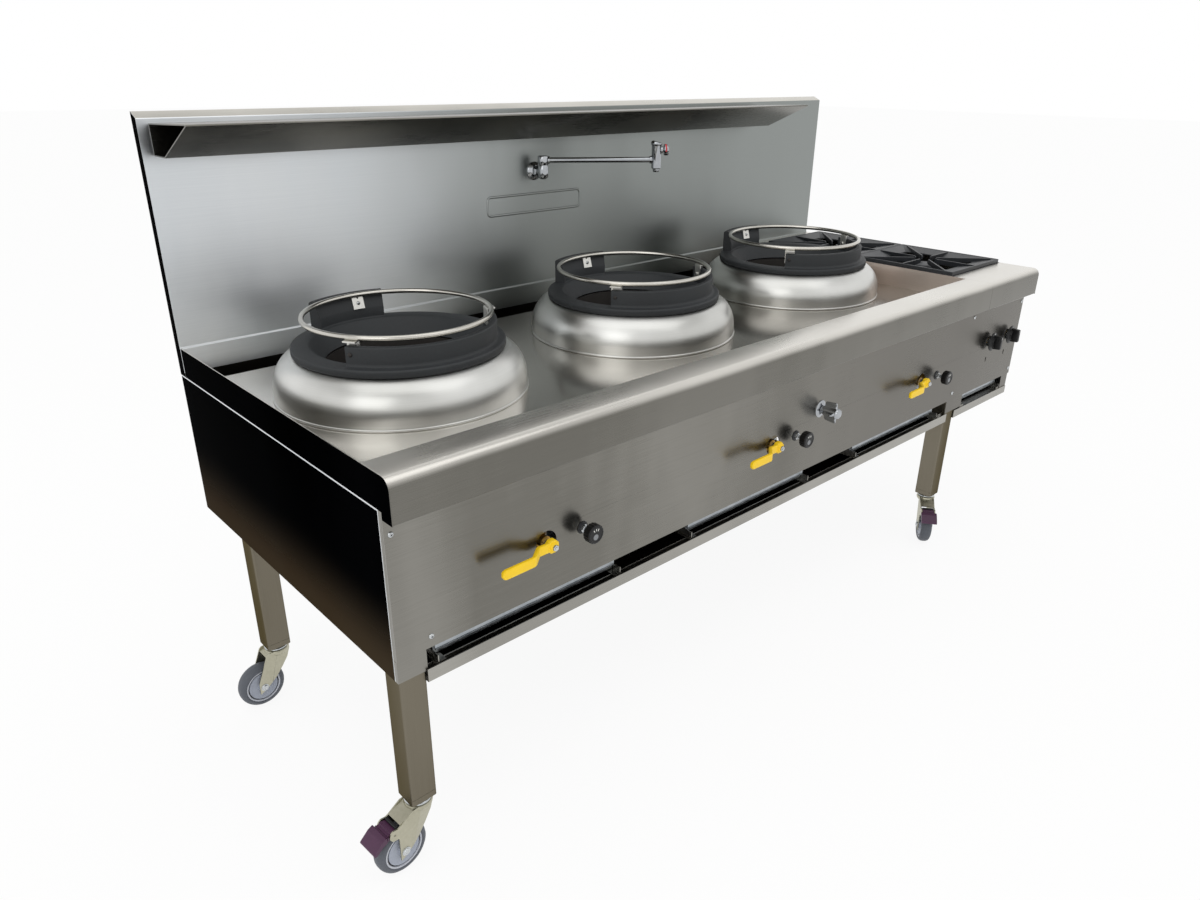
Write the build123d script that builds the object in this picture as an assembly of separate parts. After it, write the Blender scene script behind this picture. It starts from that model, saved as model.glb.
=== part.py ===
from build123d import *
import os
from math import cos, hypot, radians, sin

# Three-ring wok range with a two-burner hob at its right end.
# Millimetres. X runs to the right, Y from the nosing towards the back, Z up from the floor.
# The pieces are modelled from the body's left edge and the nosing's front face,
# and moved together at the end so that the origin lies under the middle of the whole.

# ---- body ----
width = 2100.0
depth = 825.0
rim_z = 750.0
total_height = 1187.0
sheet = 2.0
joint_gap = 0.3
nosing_height = 72.0
nosing_radius = 18.0
nosing_lip = 26.0
panel_y = 28.0
panel_return = 10.0
panel_bottom = rim_z - 319.0
side_bottom = rim_z - 360.0

# ---- wok deck and rear gutter ----
hob_bay_width = 290.0
wok_bay = width - hob_bay_width
wok_count = 3
wok_first_x = 299.0
wok_last_margin = 261.0
wok_pitch = (wok_bay - wok_first_x - wok_last_margin) / (wok_count - 1)
second_wok_x = wok_first_x + wok_pitch
bay_gap = 0.4
rim_depth = 80.0
deck_depth = 57.0
gutter_front = depth - 70.0
gutter_drop = 60.0
gutter_wall_top = rim_z - 44.0
upstand_y = depth - 28.0
upstand_bottom = rim_z - 50.0
drain_x = 120.0
drain_r = 25.0
drain_length = 70.0

# ---- splashback and shelf ----
back_face_y = depth - 25.0
chamfer_drop = 12.0
back_flange = 24.0
emboss_left = second_wok_x - 173.0
emboss_width = 301.0
emboss_bottom = total_height - 259.0
emboss_height = 50.0
emboss_corner = 10.0
emboss_bead = 5.0
emboss_rise = 1.5
shelf_left = 20.0
shelf_right = wok_bay - 47.0
shelf_front_y = depth - 224.0
shelf_foot_y = depth - 81.0
shelf_foot_z = total_height - 77.0
shelf_front_z = total_height - 14.0
shelf_back_z = total_height - 21.0

# ---- frame ----
leg_size = 48.0
leg_wall = 3.0
leg_corner = 4.0
leg_bottom = 133.0
leg_inset = 2.5
leg_front_y = 31.0
leg_rear_y = depth - 225.0
right_leg_x = wok_bay - 84.0
tube = 25.0
tube_wall = 2.0
rear_tube_inset = 1.0
rail_bottom = rim_z - 381.0
front_rail_y = 26.0
front_rail_depth = 15.0
hob_rail_height = 22.0
plate_t = 1.0
plate_top = panel_bottom + 3.0
left_plate_end = 53.0
leg_plate_start = right_leg_x - 5.0
hob_slot_left = wok_bay + 2.0
hob_slot_right = width - 42.0

# ---- drip trays ----
tray_first_x = 76.0
tray_width = 395.0
tray_last_margin = 55.0
tray_pitch = (right_leg_x - tray_first_x - tray_width - tray_last_margin) / (wok_count - 1)
tray_front_y = 50.0
tray_length = leg_rear_y - 60.0
tray_height = 27.0
tray_wall = 1.5
hob_tray_x = wok_bay + 10.0
hob_tray_width = hob_bay_width - 58.0
runner_t = 1.7
runner_inner = 12.0
runner_outer = 8.0
runner_guide = 14.0
runner_side_gap = 1.5

# ---- woks ----
wok_y = gutter_front - 290.0
dome_r = 240.0
dome_wall = 20.0
dome_crown_x = 50.0
dome_crown_z = 61.0
dome_hem = 4.0
dome_hem_r = 2.5
dome_ledge_r = 160.0
deck_hole_r = 150.0
ring_r = 201.0
ring_t = 15.0
ring_edge = 4.0
ring_mouth_r = 166.0
ring_throat_r = 142.0
ring_drop = 21.0
ring_skirt_gap = 1.5
ring_skirt_wall = 7.0
collar_in = 172.0
collar_out = 185.0
collar_height = 36.0
collar_from = -150.0
collar_to = -12.0
back_in = 180.5
back_out = 196.0
back_height = 54.0
back_from = 70.0
back_to = 120.0
gusset_height = 20.0
rest_r = 175.0
rest_wire = 5.0
rest_rise = 50.0
tab_width = 24.0
tab_t = 2.5
tab_length = 40.0
tab_foot_end = 186.0
tab_weld = 0.5
front_tab_angle = -147.0
right_tab_angle = -20.0
back_tab_angle = 87.0
tab_gap = 0.3
tab_screw_r = 4.0
tab_screw_t = 3.0
tab_shank_r = 2.5
tab_bore_clearance = 0.15

# ---- fire pots and burners ----
pot_r = 146.0
pot_wall = 3.0
pot_flange_r = 155.0
pot_flange_t = 4.0
pot_top_gap = 2.5
pot_cone_z = rim_z - 110.0
pot_floor_r = 112.0
pot_floor_z = rim_z - 207.0
pot_hole_r = 60.0
head_r = 70.0
head_bottom = rim_z - 192.0
head_t = 14.0
jet_r = 5.0
jet_length = 25.0
inner_jets = 6
inner_jet_ring = 28.0
outer_jets = 12
outer_jet_ring = 56.0
neck_r = 18.0
neck_bottom = rim_z - 262.0

# ---- gas ----
manifold_r = 17.0
manifold_y = 100.0
manifold_z = rim_z - 137.0
manifold_end = width - 40.0
valve_y = 60.0
lever_x_offset = -3.0
lever_z = rim_z - 221.0
ball_valve_r = 20.0
ball_valve_height = 60.0
ball_neck_r = 11.0
feed_r = 10.0
feed_z = rim_z - 280.0
elbow_share = 1.3
small_valve_r = 13.0
small_valve_length = 30.0
small_neck_wall = 3.0
small_tube_r = 5.0
pilot_tube_r = 3.0
pilot_tube_z = rim_z - 250.0
pilot_side = 45.0
gas_inlet_x = 90.0
gas_inlet_y = depth - 125.0
gas_inlet_r = 13.2
inlet_bottom = rim_z - 345.0

# ---- controls ----
lever_hole_r = 22.0
lever_stem_r = 7.0
stem_clearance = 0.05
lever_plate_y = 6.0
lever_reach = 120.0
lever_elbow = 32.0
lever_slope = 22.0
lever_step = 18.0
lever_width = 21.0
lever_t = 4.5
lever_hub_r = 12.6
lever_nut_r = 9.0
lever_nut_t = 5.0
pilot_dx = 81.0
pilot_hole_r = 12.0
pilot_stem_r = 4.0
pilot_knob_r = 18.0
pilot_knob_front = -9.0
pilot_knob_t = 17.0
pilot_knob_edge = 2.6
push_travel = 3.0
hob_knob_xs = (width - 184.0, width - 71.0)
hob_knob_z = rim_z - 184.0
hob_hole_r = 15.0
hob_stem_r = 5.0
hob_skirt_r = 23.0
hob_skirt_t = 4.0
hob_knob_back = 18.0
hob_grip_r = 16.0
hob_grip_depth = 22.0
hob_bar_width = 13.0
keyhole_width = 6.0
keyhole_height = 15.0
keyhole_drop = 62.0

# ---- water ----
tap_x = second_wok_x + 165.0
tap_z = rim_z - 180.0
tap_flange_r = 20.0
tap_flange_t = 6.0
tap_neck_r = 9.0
tap_body_r = 11.0
tap_hole_r = 12.0
tap_body_end = 75.0
tap_branch = 18.0
tap_branch_r = 10.0
tap_handle_back = 0.0
tap_handle_front = -21.0
tap_stem_r = 4.0
tap_hub_r = 10.0
tap_paddle = 24.0
tap_paddle_w = 8.0
water_r = 7.5
water_y = depth - 13.0
water_inlet_r = 10.5
water_inlet_x = tap_x + 61.0
water_inlet_y = depth - 125.0
water_inlet_z = rim_z - 220.0
faucet_x = second_wok_x - 25.0
faucet_z = total_height - 158.0
faucet_flange_r = 22.0
faucet_flange_t = 10.0
faucet_post_y = depth - 61.0
faucet_link_r = 9.0
faucet_hole_r = 10.0
riser_end_r = 11.0
faucet_post_r = 13.0
faucet_post_bottom = faucet_z - 17.0
faucet_joint_z = faucet_z + 17.0
faucet_top = faucet_z + 39.0
faucet_pin_r = 6.0
spout_z = faucet_z + 28.0
spout_r = 6.5
spout_reach = 282.0
spout_angle = -35.0
spout_valve_r = 12.0
spout_valve_bottom = faucet_z + 7.0
spout_valve_top = faucet_z + 63.0
spout_cap_r = 14.0
spout_cap_t = 10.0
spout_nozzle_r = 8.0
spout_nozzle = 8.0
spout_stem_r = 4.0
spout_stem_reach = 24.0
spout_handle_r = 13.0
spout_handle_t = 12.0

# ---- hob ----
hob_rim_depth = 118.0
pan_depth = 40.0
pan_rear_y = depth - 77.0
hob_burner_x = wok_bay + hob_bay_width / 2 - 2.0
hob_burner_ys = (hob_rim_depth + 157.0, pan_rear_y - 158.0)
pan_hole_r = 45.0
cup_r = 40.0
cup_bottom = rim_z - 57.0
burner_flange_r = 52.0
burner_flange_t = 3.0
burner_head_r = 42.0
burner_head_t = 22.0
burner_cap_r = 38.0
burner_cap_t = 8.0
trivet_top = rim_z + 10.0
trivet_bar = 12.0
trivet_bar_height = 14.0
trivet_gap = 2.0
trivet_finger = 9.0
trivet_eye = 30.0
trivet_fingers = 8

# ---- casters ----
wheel_r = 48.0
tyre_inner_r = 33.0
tyre_half = 15.0
tyre_shoulder = 7.0
hub_half = 11.0
hub_boss_r = 10.0
hub_boss_half = 16.5
axle_r = 4.0
axle_head_r = 7.0
axle_head_t = 4.0
trail = 44.0
fork_inner = 17.0
fork_t = 2.5
plug_t = 8.0
plug_disc_r = 24.0
plug_depth = 40.0
plug_clearance = 0.2
king_pin_r = 6.0
king_head_r = 9.0
king_head_t = 3.0
king_pin_length = 15.0
fork_top_t = 12.7
fork_top_r = 25.0
caster_angles = {"fl": 184.0, "rl": 181.0, "fr": 217.0, "rr": 160.0}
pedal_pivot_x = 62.0
pedal_pivot_z = 97.0
pedal_pin_r = 3.0
pedal_half = 16.0
pedal_wide_half = 21.0

# ---- screws ----
screw_r = 5.0
screw_t = 3.0

deck_z = rim_z - deck_depth
nosing_bottom = rim_z - nosing_height
frame_top = deck_z - sheet
pan_z = rim_z - pan_depth
rail_top = rail_bottom + tube
tray_z = rail_top + runner_t + joint_gap
dome_top = deck_z + dome_wall + dome_crown_z
ring_top = dome_top + ring_t
rest_z = ring_top + rest_rise
tab_screw_z = rest_z - tab_length + tab_width / 2
wok_xs = [wok_first_x + i * wok_pitch for i in range(wok_count)]
lever_xs = [x + lever_x_offset for x in wok_xs]
pilot_xs = [x + pilot_dx for x in lever_xs]
tray_xs = [tray_first_x + i * tray_pitch for i in range(wok_count)]
leg_half = leg_size / 2
leg_places = {
    "fl": (leg_inset + leg_half, leg_front_y + leg_half),
    "rl": (leg_inset + leg_half, leg_rear_y + leg_half),
    "fr": (right_leg_x + leg_half, leg_front_y + leg_half),
    "rr": (right_leg_x + leg_half, leg_rear_y + leg_half),
}
pieces = {}


# ---- shared shapes ----
def block(x0, x1, y0, y1, z0, z1):
    """A box given by its limits."""
    return Pos(x0, y0, z0) * Box(x1 - x0, y1 - y0, z1 - z0, align=(Align.MIN,) * 3)


def rod(start, end, radius):
    """A round bar from one point to another."""
    run = Vector(*end) - Vector(*start)
    shape = Cylinder(radius, run.length, align=(Align.CENTER, Align.CENTER, Align.MIN))
    return Plane(origin=start, z_dir=run) * shape


def pipe(points, radius):
    """Straight runs joined by ball elbows."""
    shape = rod(points[0], points[1], radius)
    for corner, end in zip(points[1:], points[2:]):
        shape += Pos(*corner) * Sphere(radius * elbow_share)
        shape += rod(corner, end, radius)
    return shape


def strip(points, thickness):
    """A mitred outline of the given thickness, on the right of a path for a positive one."""
    normals = []
    for (x0, y0), (x1, y1) in zip(points, points[1:]):
        length = hypot(x1 - x0, y1 - y0)
        normals.append(((y1 - y0) / length, (x0 - x1) / length))
    inner = []
    for i, (x, y) in enumerate(points):
        ax, ay = normals[max(i - 1, 0)]
        bx, by = normals[min(i, len(normals) - 1)]
        scale = thickness / (1 + ax * bx + ay * by)
        inner.append((x + scale * (ax + bx), y + scale * (ay + by)))
    return list(points) + inner[::-1]


def rounded(face, corner, radius):
    """Rounds the corner of a flat face that is nearest to a point."""
    return fillet(face.vertices().sort_by_distance(Vector(*corner))[0], radius)


def outline(points, corners=()):
    """A flat face with some of its corners rounded."""
    face = make_face(Polyline(*points, close=True))
    for corner, radius in corners:
        face = rounded(face, corner, radius)
    return face


def along_x(face, x0, x1):
    """Pushes a (y, z) face from one x to another."""
    return extrude(Plane.YZ.offset(x0) * face, x1 - x0)


def lathe(points):
    """Turns an (r, z) outline about the vertical."""
    return revolve(Plane.XZ * outline(points), Axis.Z)


def arc_wall(points, start, end):
    """Turns an (r, z) outline through part of a circle."""
    return Rot(0, 0, start) * revolve(Plane.XZ * outline(points), Axis.Z, end - start)


def rect(r0, r1, z0, z1):
    return [(r0, z0), (r1, z0), (r1, z1), (r0, z1)]


def square_tube(x0, x1, y0, y1, z0, z1, wall, way):
    """A box tube that is open along one axis: "x", "y" or "z"."""
    wx, wy, wz = (0 if way == axis else wall for axis in "xyz")
    return block(x0, x1, y0, y1, z0, z1) - block(x0 + wx, x1 - wx, y0 + wy, y1 - wy, z0 + wz, z1 - wz)


# ---- sheet metal ----
def nosing_path():
    return [(nosing_lip, nosing_bottom), (0, nosing_bottom), (0, rim_z)]


def nosing_bends():
    return [((0, rim_z), nosing_radius), ((sheet, rim_z - sheet), nosing_radius - sheet)]


def end_flange(x0, x1):
    """The flat plate that closes a worktop at one end."""
    points = [
        (0, nosing_bottom),
        (0, rim_z),
        (upstand_y - joint_gap, rim_z),
        (upstand_y - joint_gap, frame_top),
        (panel_y - joint_gap, frame_top),
        (panel_y - joint_gap, nosing_bottom),
    ]
    return along_x(outline(points, [((0, rim_z), nosing_radius)]), x0, x1)


def deck_nosing():
    """The wok deck's front: the rounded nosing, the rim and the wall down to the deck."""
    path = nosing_path() + [(rim_depth, rim_z), (rim_depth, deck_z)]
    return along_x(outline(strip(path, sheet), nosing_bends()), sheet, wok_bay - bay_gap / 2)


def wok_deck():
    right = wok_bay - bay_gap / 2
    body = block(sheet, right, rim_depth - sheet, gutter_front - sheet, deck_z - sheet, deck_z)
    for x in wok_xs:
        body -= Pos(x, wok_y, deck_z) * Cylinder(deck_hole_r, 4 * sheet)
    body += end_flange(0, sheet)
    return body + block(right - sheet, right, rim_depth, upstand_y - joint_gap, deck_z, rim_z)


def deck_gutter():
    """The trough behind the deck, with its ends and its drain."""
    gutter_z = deck_z - gutter_drop
    gutter_back = upstand_y + sheet
    right = wok_bay - bay_gap / 2
    path = [
        (gutter_front, deck_z),
        (gutter_front, gutter_z),
        (gutter_back, gutter_z),
        (gutter_back, gutter_wall_top),
    ]
    body = along_x(outline(strip(path, sheet)), sheet, right)
    for x in (sheet, right - sheet):
        y1 = gutter_back + sheet
        body += block(x, x + sheet, gutter_front - sheet, y1, gutter_z - sheet, deck_z)
    drain_y = (gutter_front + gutter_back) / 2
    under = gutter_z - sheet
    low = under - drain_length
    body += rod((drain_x, drain_y, low), (drain_x, drain_y, under), drain_r)
    bore_r = (gutter_back - gutter_front) / 2 - sheet
    return body - rod((drain_x, drain_y, low - sheet), (drain_x, drain_y, deck_z), bore_r)


def hob_top():
    left = wok_bay + bay_gap / 2
    path = nosing_path() + [
        (hob_rim_depth, rim_z),
        (hob_rim_depth, pan_z),
        (pan_rear_y, pan_z),
        (pan_rear_y, rim_z),
        (upstand_y - joint_gap, rim_z),
    ]
    body = along_x(outline(strip(path, sheet), nosing_bends()), left, width - sheet)
    body += end_flange(width - sheet, width)
    body += block(left, left + sheet, hob_rim_depth, pan_rear_y, pan_z - sheet, rim_z)
    for y in hob_burner_ys:
        body -= Pos(hob_burner_x, y, pan_z) * Cylinder(pan_hole_r, 4 * sheet)
    return body


def splashback():
    shoulder = total_height - chamfer_drop
    path = [
        (upstand_y, upstand_bottom),
        (upstand_y, rim_z - sheet / 2),
        (back_face_y, rim_z + sheet),
        (back_face_y, shoulder),
        (depth, total_height),
        (depth, total_height - back_flange),
    ]
    body = along_x(outline(strip(path, sheet)), 0, width)
    side = [
        (back_face_y, frame_top),
        (back_face_y, shoulder),
        (depth, total_height),
        (depth, frame_top),
    ]
    for x in (0, width - sheet):
        body += along_x(outline(side), x, x + sheet)
    frame_box = Box(emboss_width, 2 * emboss_rise, emboss_height)
    frame_box = fillet(frame_box.edges().filter_by(Axis.Y), emboss_corner)
    inner_box = Box(emboss_width - 2 * emboss_bead, 4 * emboss_rise, emboss_height - 2 * emboss_bead)
    inner_box = fillet(inner_box.edges().filter_by(Axis.Y), emboss_corner - emboss_bead / 2)
    centre = Pos(emboss_left + emboss_width / 2, back_face_y, emboss_bottom + emboss_height / 2)
    body += centre * (frame_box - inner_box)
    hole_start = (faucet_x, back_face_y - sheet, faucet_z)
    body -= rod(hole_start, (faucet_x, depth, faucet_z), faucet_hole_r)
    body += block(0, sheet, depth - sheet, depth, total_height - back_flange, total_height - 2 * sheet)
    return body


def splashback_shelf():
    corners = [
        (back_face_y, shelf_foot_z),
        (shelf_foot_y, shelf_foot_z),
        (shelf_front_y, shelf_front_z),
        (back_face_y, shelf_back_z),
    ]
    closed = corners + corners[:2]
    walls = strip(closed, sheet)
    inner = walls[len(closed) + 1:-1]
    section = outline(corners) - outline(inner)
    return along_x(section, shelf_left, shelf_right)


def side_panel(x0, bottom):
    return block(
        x0,
        x0 + sheet,
        panel_y + panel_return + joint_gap,
        depth - sheet - joint_gap,
        bottom,
        frame_top - joint_gap,
    )


def back_panel():
    top = total_height - back_flange - joint_gap
    return block(sheet + joint_gap, width - sheet - joint_gap, depth - sheet, depth, side_bottom, top)


def control_panel():
    top = frame_top - joint_gap
    body = block(0, width, panel_y, panel_y + sheet, panel_bottom, top)
    for x in (0, width - sheet):
        body += block(x, x + sheet, panel_y, panel_y + panel_return, panel_bottom, top)
    holes = [(x, lever_z, lever_hole_r) for x in lever_xs]
    holes += [(x, lever_z, pilot_hole_r) for x in pilot_xs]
    holes += [(x, hob_knob_z, hob_hole_r) for x in hob_knob_xs]
    holes += [(tap_x, tap_z, tap_hole_r)]
    for x, z, radius in holes:
        body -= rod((x, panel_y - sheet, z), (x, panel_y + 2 * sheet, z), radius)
    for x in hob_knob_xs:
        low = hob_knob_z - keyhole_drop
        half = keyhole_width / 2
        body -= block(x - half, x + half, panel_y - sheet, panel_y + 2 * sheet, low, low + keyhole_height)
    return body


def corner_plates():
    y0 = panel_y + sheet
    y1 = y0 + plate_t
    under_panel = panel_bottom - joint_gap
    left = block(sheet + joint_gap, left_plate_end, y0, y1, side_bottom, plate_top)
    left += block(0, sheet + joint_gap, y0, y1, side_bottom, under_panel)
    left += block(0, plate_t, y0, panel_y + panel_return, side_bottom, under_panel)
    middle = block(leg_plate_start, hob_slot_left, y0, y1, rail_top, plate_top)
    right = block(hob_slot_right, width - sheet, y0, y1, rail_bottom + hob_rail_height, plate_top)
    return [left, middle, right]


# ---- frame ----
def leg(place):
    x, y = place
    height = frame_top - tube - leg_bottom
    outer = Box(leg_size, leg_size, height, align=(Align.CENTER, Align.CENTER, Align.MIN))
    outer = fillet(outer.edges().filter_by(Axis.Z), leg_corner)
    bore = leg_size - 2 * leg_wall
    inner = Box(bore, bore, height, align=(Align.CENTER, Align.CENTER, Align.MIN))
    return Pos(x, y, leg_bottom) * (outer - inner)


def caster_plug(place):
    """The plug in a leg's foot, with the upper raceway and the king pin."""
    x, y = place
    side = leg_size - 2 * leg_wall - 2 * plug_clearance
    plug = Pos(0, 0, leg_bottom) * Box(side, side, plug_depth, align=(Align.CENTER, Align.CENTER, Align.MIN))
    disc_z = leg_bottom - plug_t
    plug += rod((0, 0, disc_z), (0, 0, leg_bottom), plug_disc_r)
    pin_z = disc_z - king_pin_length
    plug += rod((0, 0, pin_z), (0, 0, disc_z), king_pin_r)
    plug += rod((0, 0, pin_z - king_head_t), (0, 0, pin_z), king_head_r)
    return Pos(x, y, 0) * plug


def upper_frame():
    z0 = frame_top - tube
    rear_y = leg_rear_y + leg_size - rear_tube_inset - tube
    front_y = leg_front_y + (leg_size - tube) / 2
    left = leg_inset
    right = width - sheet - joint_gap
    body = square_tube(left, right, front_y, front_y + tube, z0, frame_top, tube_wall, "x")
    body += square_tube(left, right, rear_y, rear_y + tube, z0, frame_top, tube_wall, "x")
    between = [x + wok_pitch / 2 - tube / 2 for x in wok_xs[:-1]]
    stations = [left] + between + [right_leg_x + (leg_size - tube) / 2, right - tube]
    for x in stations:
        for y0, y1 in ((front_y + tube, rear_y), (rear_y + tube, gutter_front - sheet)):
            body += square_tube(x, x + tube, y0, y1, z0, frame_top, tube_wall, "y")
    return body


def runner(edge, inward, y0, y1, bottom):
    """One angle that carries a tray's edge; inward is 1 at the left edge and -1 at the right."""
    top = tray_z - joint_gap
    lines = sorted((edge - inward * runner_outer, edge + inward * runner_inner))
    shape = block(lines[0], lines[1], y0, y1, bottom, top)
    guide = sorted((edge - inward * runner_side_gap, edge - inward * (runner_side_gap + runner_t)))
    return shape + block(guide[0], guide[1], y0, y1, bottom, bottom + runner_guide)


def lower_frame():
    leg_x0 = leg_inset
    leg_x1 = leg_inset + leg_size
    leg_y1 = leg_front_y + leg_size
    right_x1 = right_leg_x + leg_size
    rear_y = leg_rear_y + (leg_size - tube) / 2
    end_x = width - sheet - joint_gap
    hob_top_z = rail_bottom + hob_rail_height
    side_z = rail_top
    body = square_tube(leg_x1, right_leg_x, rear_y, rear_y + tube, rail_bottom, rail_top, tube_wall, "x")
    for i, x in enumerate(tray_xs):
        for edge, inward in ((x, 1), (x + tray_width, -1)):
            body += runner(edge, inward, panel_y + sheet, rear_y + tube, rail_top)
    sides = []
    for x in (leg_x0 + (leg_size - tube) / 2, right_leg_x + (leg_size - tube) / 2):
        sides.append(square_tube(x, x + tube, leg_y1, leg_rear_y, side_z, side_z + tube, tube_wall, "y"))
    hob = square_tube(right_x1, end_x, panel_y, panel_y + tube, rail_bottom, hob_top_z, tube_wall, "x")
    hob += square_tube(right_x1, end_x, rear_y, rear_y + tube, rail_bottom, hob_top_z, tube_wall, "x")
    hob += square_tube(end_x - tube, end_x, panel_y + tube, rear_y, rail_bottom, hob_top_z, tube_wall, "y")
    for edge, inward in ((hob_tray_x, 1), (hob_tray_x + hob_tray_width, -1)):
        hob += runner(edge, inward, panel_y + sheet + plate_t + joint_gap, rear_y + tube, hob_top_z)
    return [body, hob] + sides


def front_rail():
    leg_x1 = leg_inset + leg_size
    y1 = front_rail_y + front_rail_depth
    body = block(leg_x1, right_leg_x, front_rail_y, y1, rail_bottom, rail_top)
    hollow = block(leg_x1, right_leg_x, front_rail_y + sheet, y1 - sheet, rail_bottom + sheet, rail_top)
    return body - hollow


# ---- trays ----
def drip_tray(x0, tray_w):
    y1 = tray_front_y + tray_length
    body = block(x0, x0 + tray_w, tray_front_y, y1, tray_z, tray_z + tray_height)
    body -= block(
        x0 + tray_wall,
        x0 + tray_w - tray_wall,
        tray_front_y + tray_wall,
        y1 - tray_wall,
        tray_z + tray_wall,
        tray_z + 2 * tray_height,
    )
    return body


# ---- woks ----
def dome_form(inset):
    """The dome's solid form, drawn in by the sheet's thickness for its hollow."""
    radius = dome_r - inset
    wall_z = deck_z + dome_wall
    crown_x = dome_crown_x
    crown_z = dome_crown_z - inset
    edge = radius - crown_x
    sides = Polyline((0, wall_z + crown_z), (0, deck_z), (radius, deck_z), (radius, wall_z))
    crown = EllipticalCenterArc((edge, wall_z), crown_x, crown_z, start_angle=0, arc_size=90)
    top = Line((edge, wall_z + crown_z), (0, wall_z + crown_z))
    return revolve(Plane.XZ * make_face(sides + crown + top), Axis.Z)


def dome():
    hollow = dome_form(sheet)
    body = dome_form(0) - hollow
    body -= Pos(0, 0, dome_top) * Cylinder(dome_ledge_r, 4 * sheet)
    return body + lathe(rect(dome_r - sheet / 2, dome_r + dome_hem_r, deck_z, deck_z + dome_hem))


def wok_ring():
    skirt_r = dome_ledge_r - ring_skirt_gap
    throat_z = dome_top - ring_drop
    body = lathe([
        (ring_r, dome_top),
        (ring_r, ring_top),
        (ring_mouth_r, ring_top),
        (ring_throat_r, throat_z),
        (ring_throat_r + ring_skirt_wall, throat_z),
        (skirt_r, dome_top),
    ])
    rim = body.edges().filter_by(GeomType.CIRCLE).filter_by(lambda edge: edge.radius > ring_r - 1)
    body = fillet(rim, ring_edge)
    collar = rect(collar_in, collar_out, ring_top - 1, ring_top + collar_height)
    body += arc_wall(collar, collar_from, collar_to)
    for angle in (front_tab_angle, right_tab_angle):
        bore_r = tab_shank_r + tab_bore_clearance
        bore = rod((collar_in - 1, 0, tab_screw_z), (collar_out + 1, 0, tab_screw_z), bore_r)
        body -= Rot(0, 0, angle) * bore
    body += arc_wall(rect(back_in, back_out, ring_top - 1, ring_top + back_height), back_from, back_to)
    wedge = [
        (back_in + 1, ring_top - 1),
        (back_in + 1, ring_top + gusset_height),
        (ring_mouth_r + 2, ring_top),
        (ring_mouth_r + 2, ring_top - 1),
    ]
    return body + arc_wall(wedge, back_from, back_to)


def rest_ring():
    """A round bar on two tabs screwed to the collar and a plate at the back wall."""
    body = Pos(0, 0, rest_z) * Torus(rest_r, rest_wire)
    half = tab_width / 2
    foot_top = rest_z - rest_wire + tab_weld
    tab_x1 = (collar_in ** 2 - half ** 2) ** 0.5 - tab_gap
    tab_x0 = tab_x1 - tab_t
    for angle in (front_tab_angle, right_tab_angle):
        tab = block(tab_x0, tab_x1, -half, half, rest_z - tab_length, foot_top)
        tab += block(tab_x0, tab_foot_end, -half, half, foot_top - tab_t, foot_top)
        nut_x = tab_x0 - tab_screw_t
        head_x = collar_out + tab_gap
        tab += rod((nut_x, 0, tab_screw_z), (tab_x0, 0, tab_screw_z), tab_screw_r)
        tab += rod((nut_x, 0, tab_screw_z), (head_x, 0, tab_screw_z), tab_shank_r)
        tab += rod((head_x, 0, tab_screw_z), (head_x + tab_screw_t, 0, tab_screw_z), tab_screw_r)
        body += Rot(0, 0, angle) * tab
    plate_x1 = (back_in ** 2 - half ** 2) ** 0.5 - tab_gap
    plate_x0 = plate_x1 - tab_t
    low = ring_top + gusset_height + tab_gap
    middle = (low + rest_z) / 2
    plate = block(plate_x0, plate_x1, -half, half, low, rest_z)
    plate += rod((plate_x0 - tab_screw_t, 0, middle), (plate_x0, 0, middle), tab_screw_r)
    return body + Rot(0, 0, back_tab_angle) * plate


def fire_pot():
    top = dome_top - ring_drop - pot_top_gap
    inner = pot_r - pot_wall
    floor_in = pot_floor_r - pot_wall
    flange_z = frame_top - pot_flange_t
    return lathe([
        (inner, top),
        (pot_r, top),
        (pot_r, frame_top),
        (pot_flange_r, frame_top),
        (pot_flange_r, flange_z),
        (pot_r, flange_z),
        (pot_r, pot_cone_z),
        (pot_floor_r, pot_floor_z),
        (pot_hole_r, pot_floor_z),
        (pot_hole_r, pot_floor_z + pot_wall),
        (floor_in, pot_floor_z + pot_wall),
        (inner, pot_cone_z),
    ])


def wok_burner():
    head_top = head_bottom + head_t
    body = rod((0, 0, neck_bottom), (0, 0, head_bottom), neck_r)
    body += rod((0, 0, head_bottom), (0, 0, head_top), head_r)
    jets = [(0, 0)]
    for count, ring in ((inner_jets, inner_jet_ring), (outer_jets, outer_jet_ring)):
        for i in range(count):
            turn = radians(360 * i / count)
            jets.append((ring * cos(turn), ring * sin(turn)))
    for x, y in jets:
        body += rod((x, y, head_top), (x, y, head_top + jet_length), jet_r)
    return body


# ---- gas ----
def gas_manifold():
    start = (gas_inlet_x, gas_inlet_y, inlet_bottom)
    manifold = pipe(
        [
            (gas_inlet_x, gas_inlet_y, manifold_z),
            (gas_inlet_x, manifold_y, manifold_z),
            (manifold_end, manifold_y, manifold_z),
        ],
        manifold_r,
    )
    manifold += Pos(gas_inlet_x, gas_inlet_y, manifold_z) * Sphere(manifold_r * elbow_share)
    manifold += rod(start, (gas_inlet_x, gas_inlet_y, manifold_z), gas_inlet_r)
    ball_top = lever_z + ball_valve_height / 2
    for x in lever_xs:
        drop = [(x, manifold_y, manifold_z), (x, valve_y, manifold_z), (x, valve_y, ball_top)]
        manifold += pipe(drop, feed_r)
    taps = [(x, lever_z) for x in pilot_xs] + [(x, hob_knob_z) for x in hob_knob_xs]
    for x, z in taps:
        top = z + small_valve_r
        drop = [(x, manifold_y, manifold_z), (x, valve_y, manifold_z), (x, valve_y, top)]
        manifold += pipe(drop, small_tube_r)
    return manifold


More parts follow.
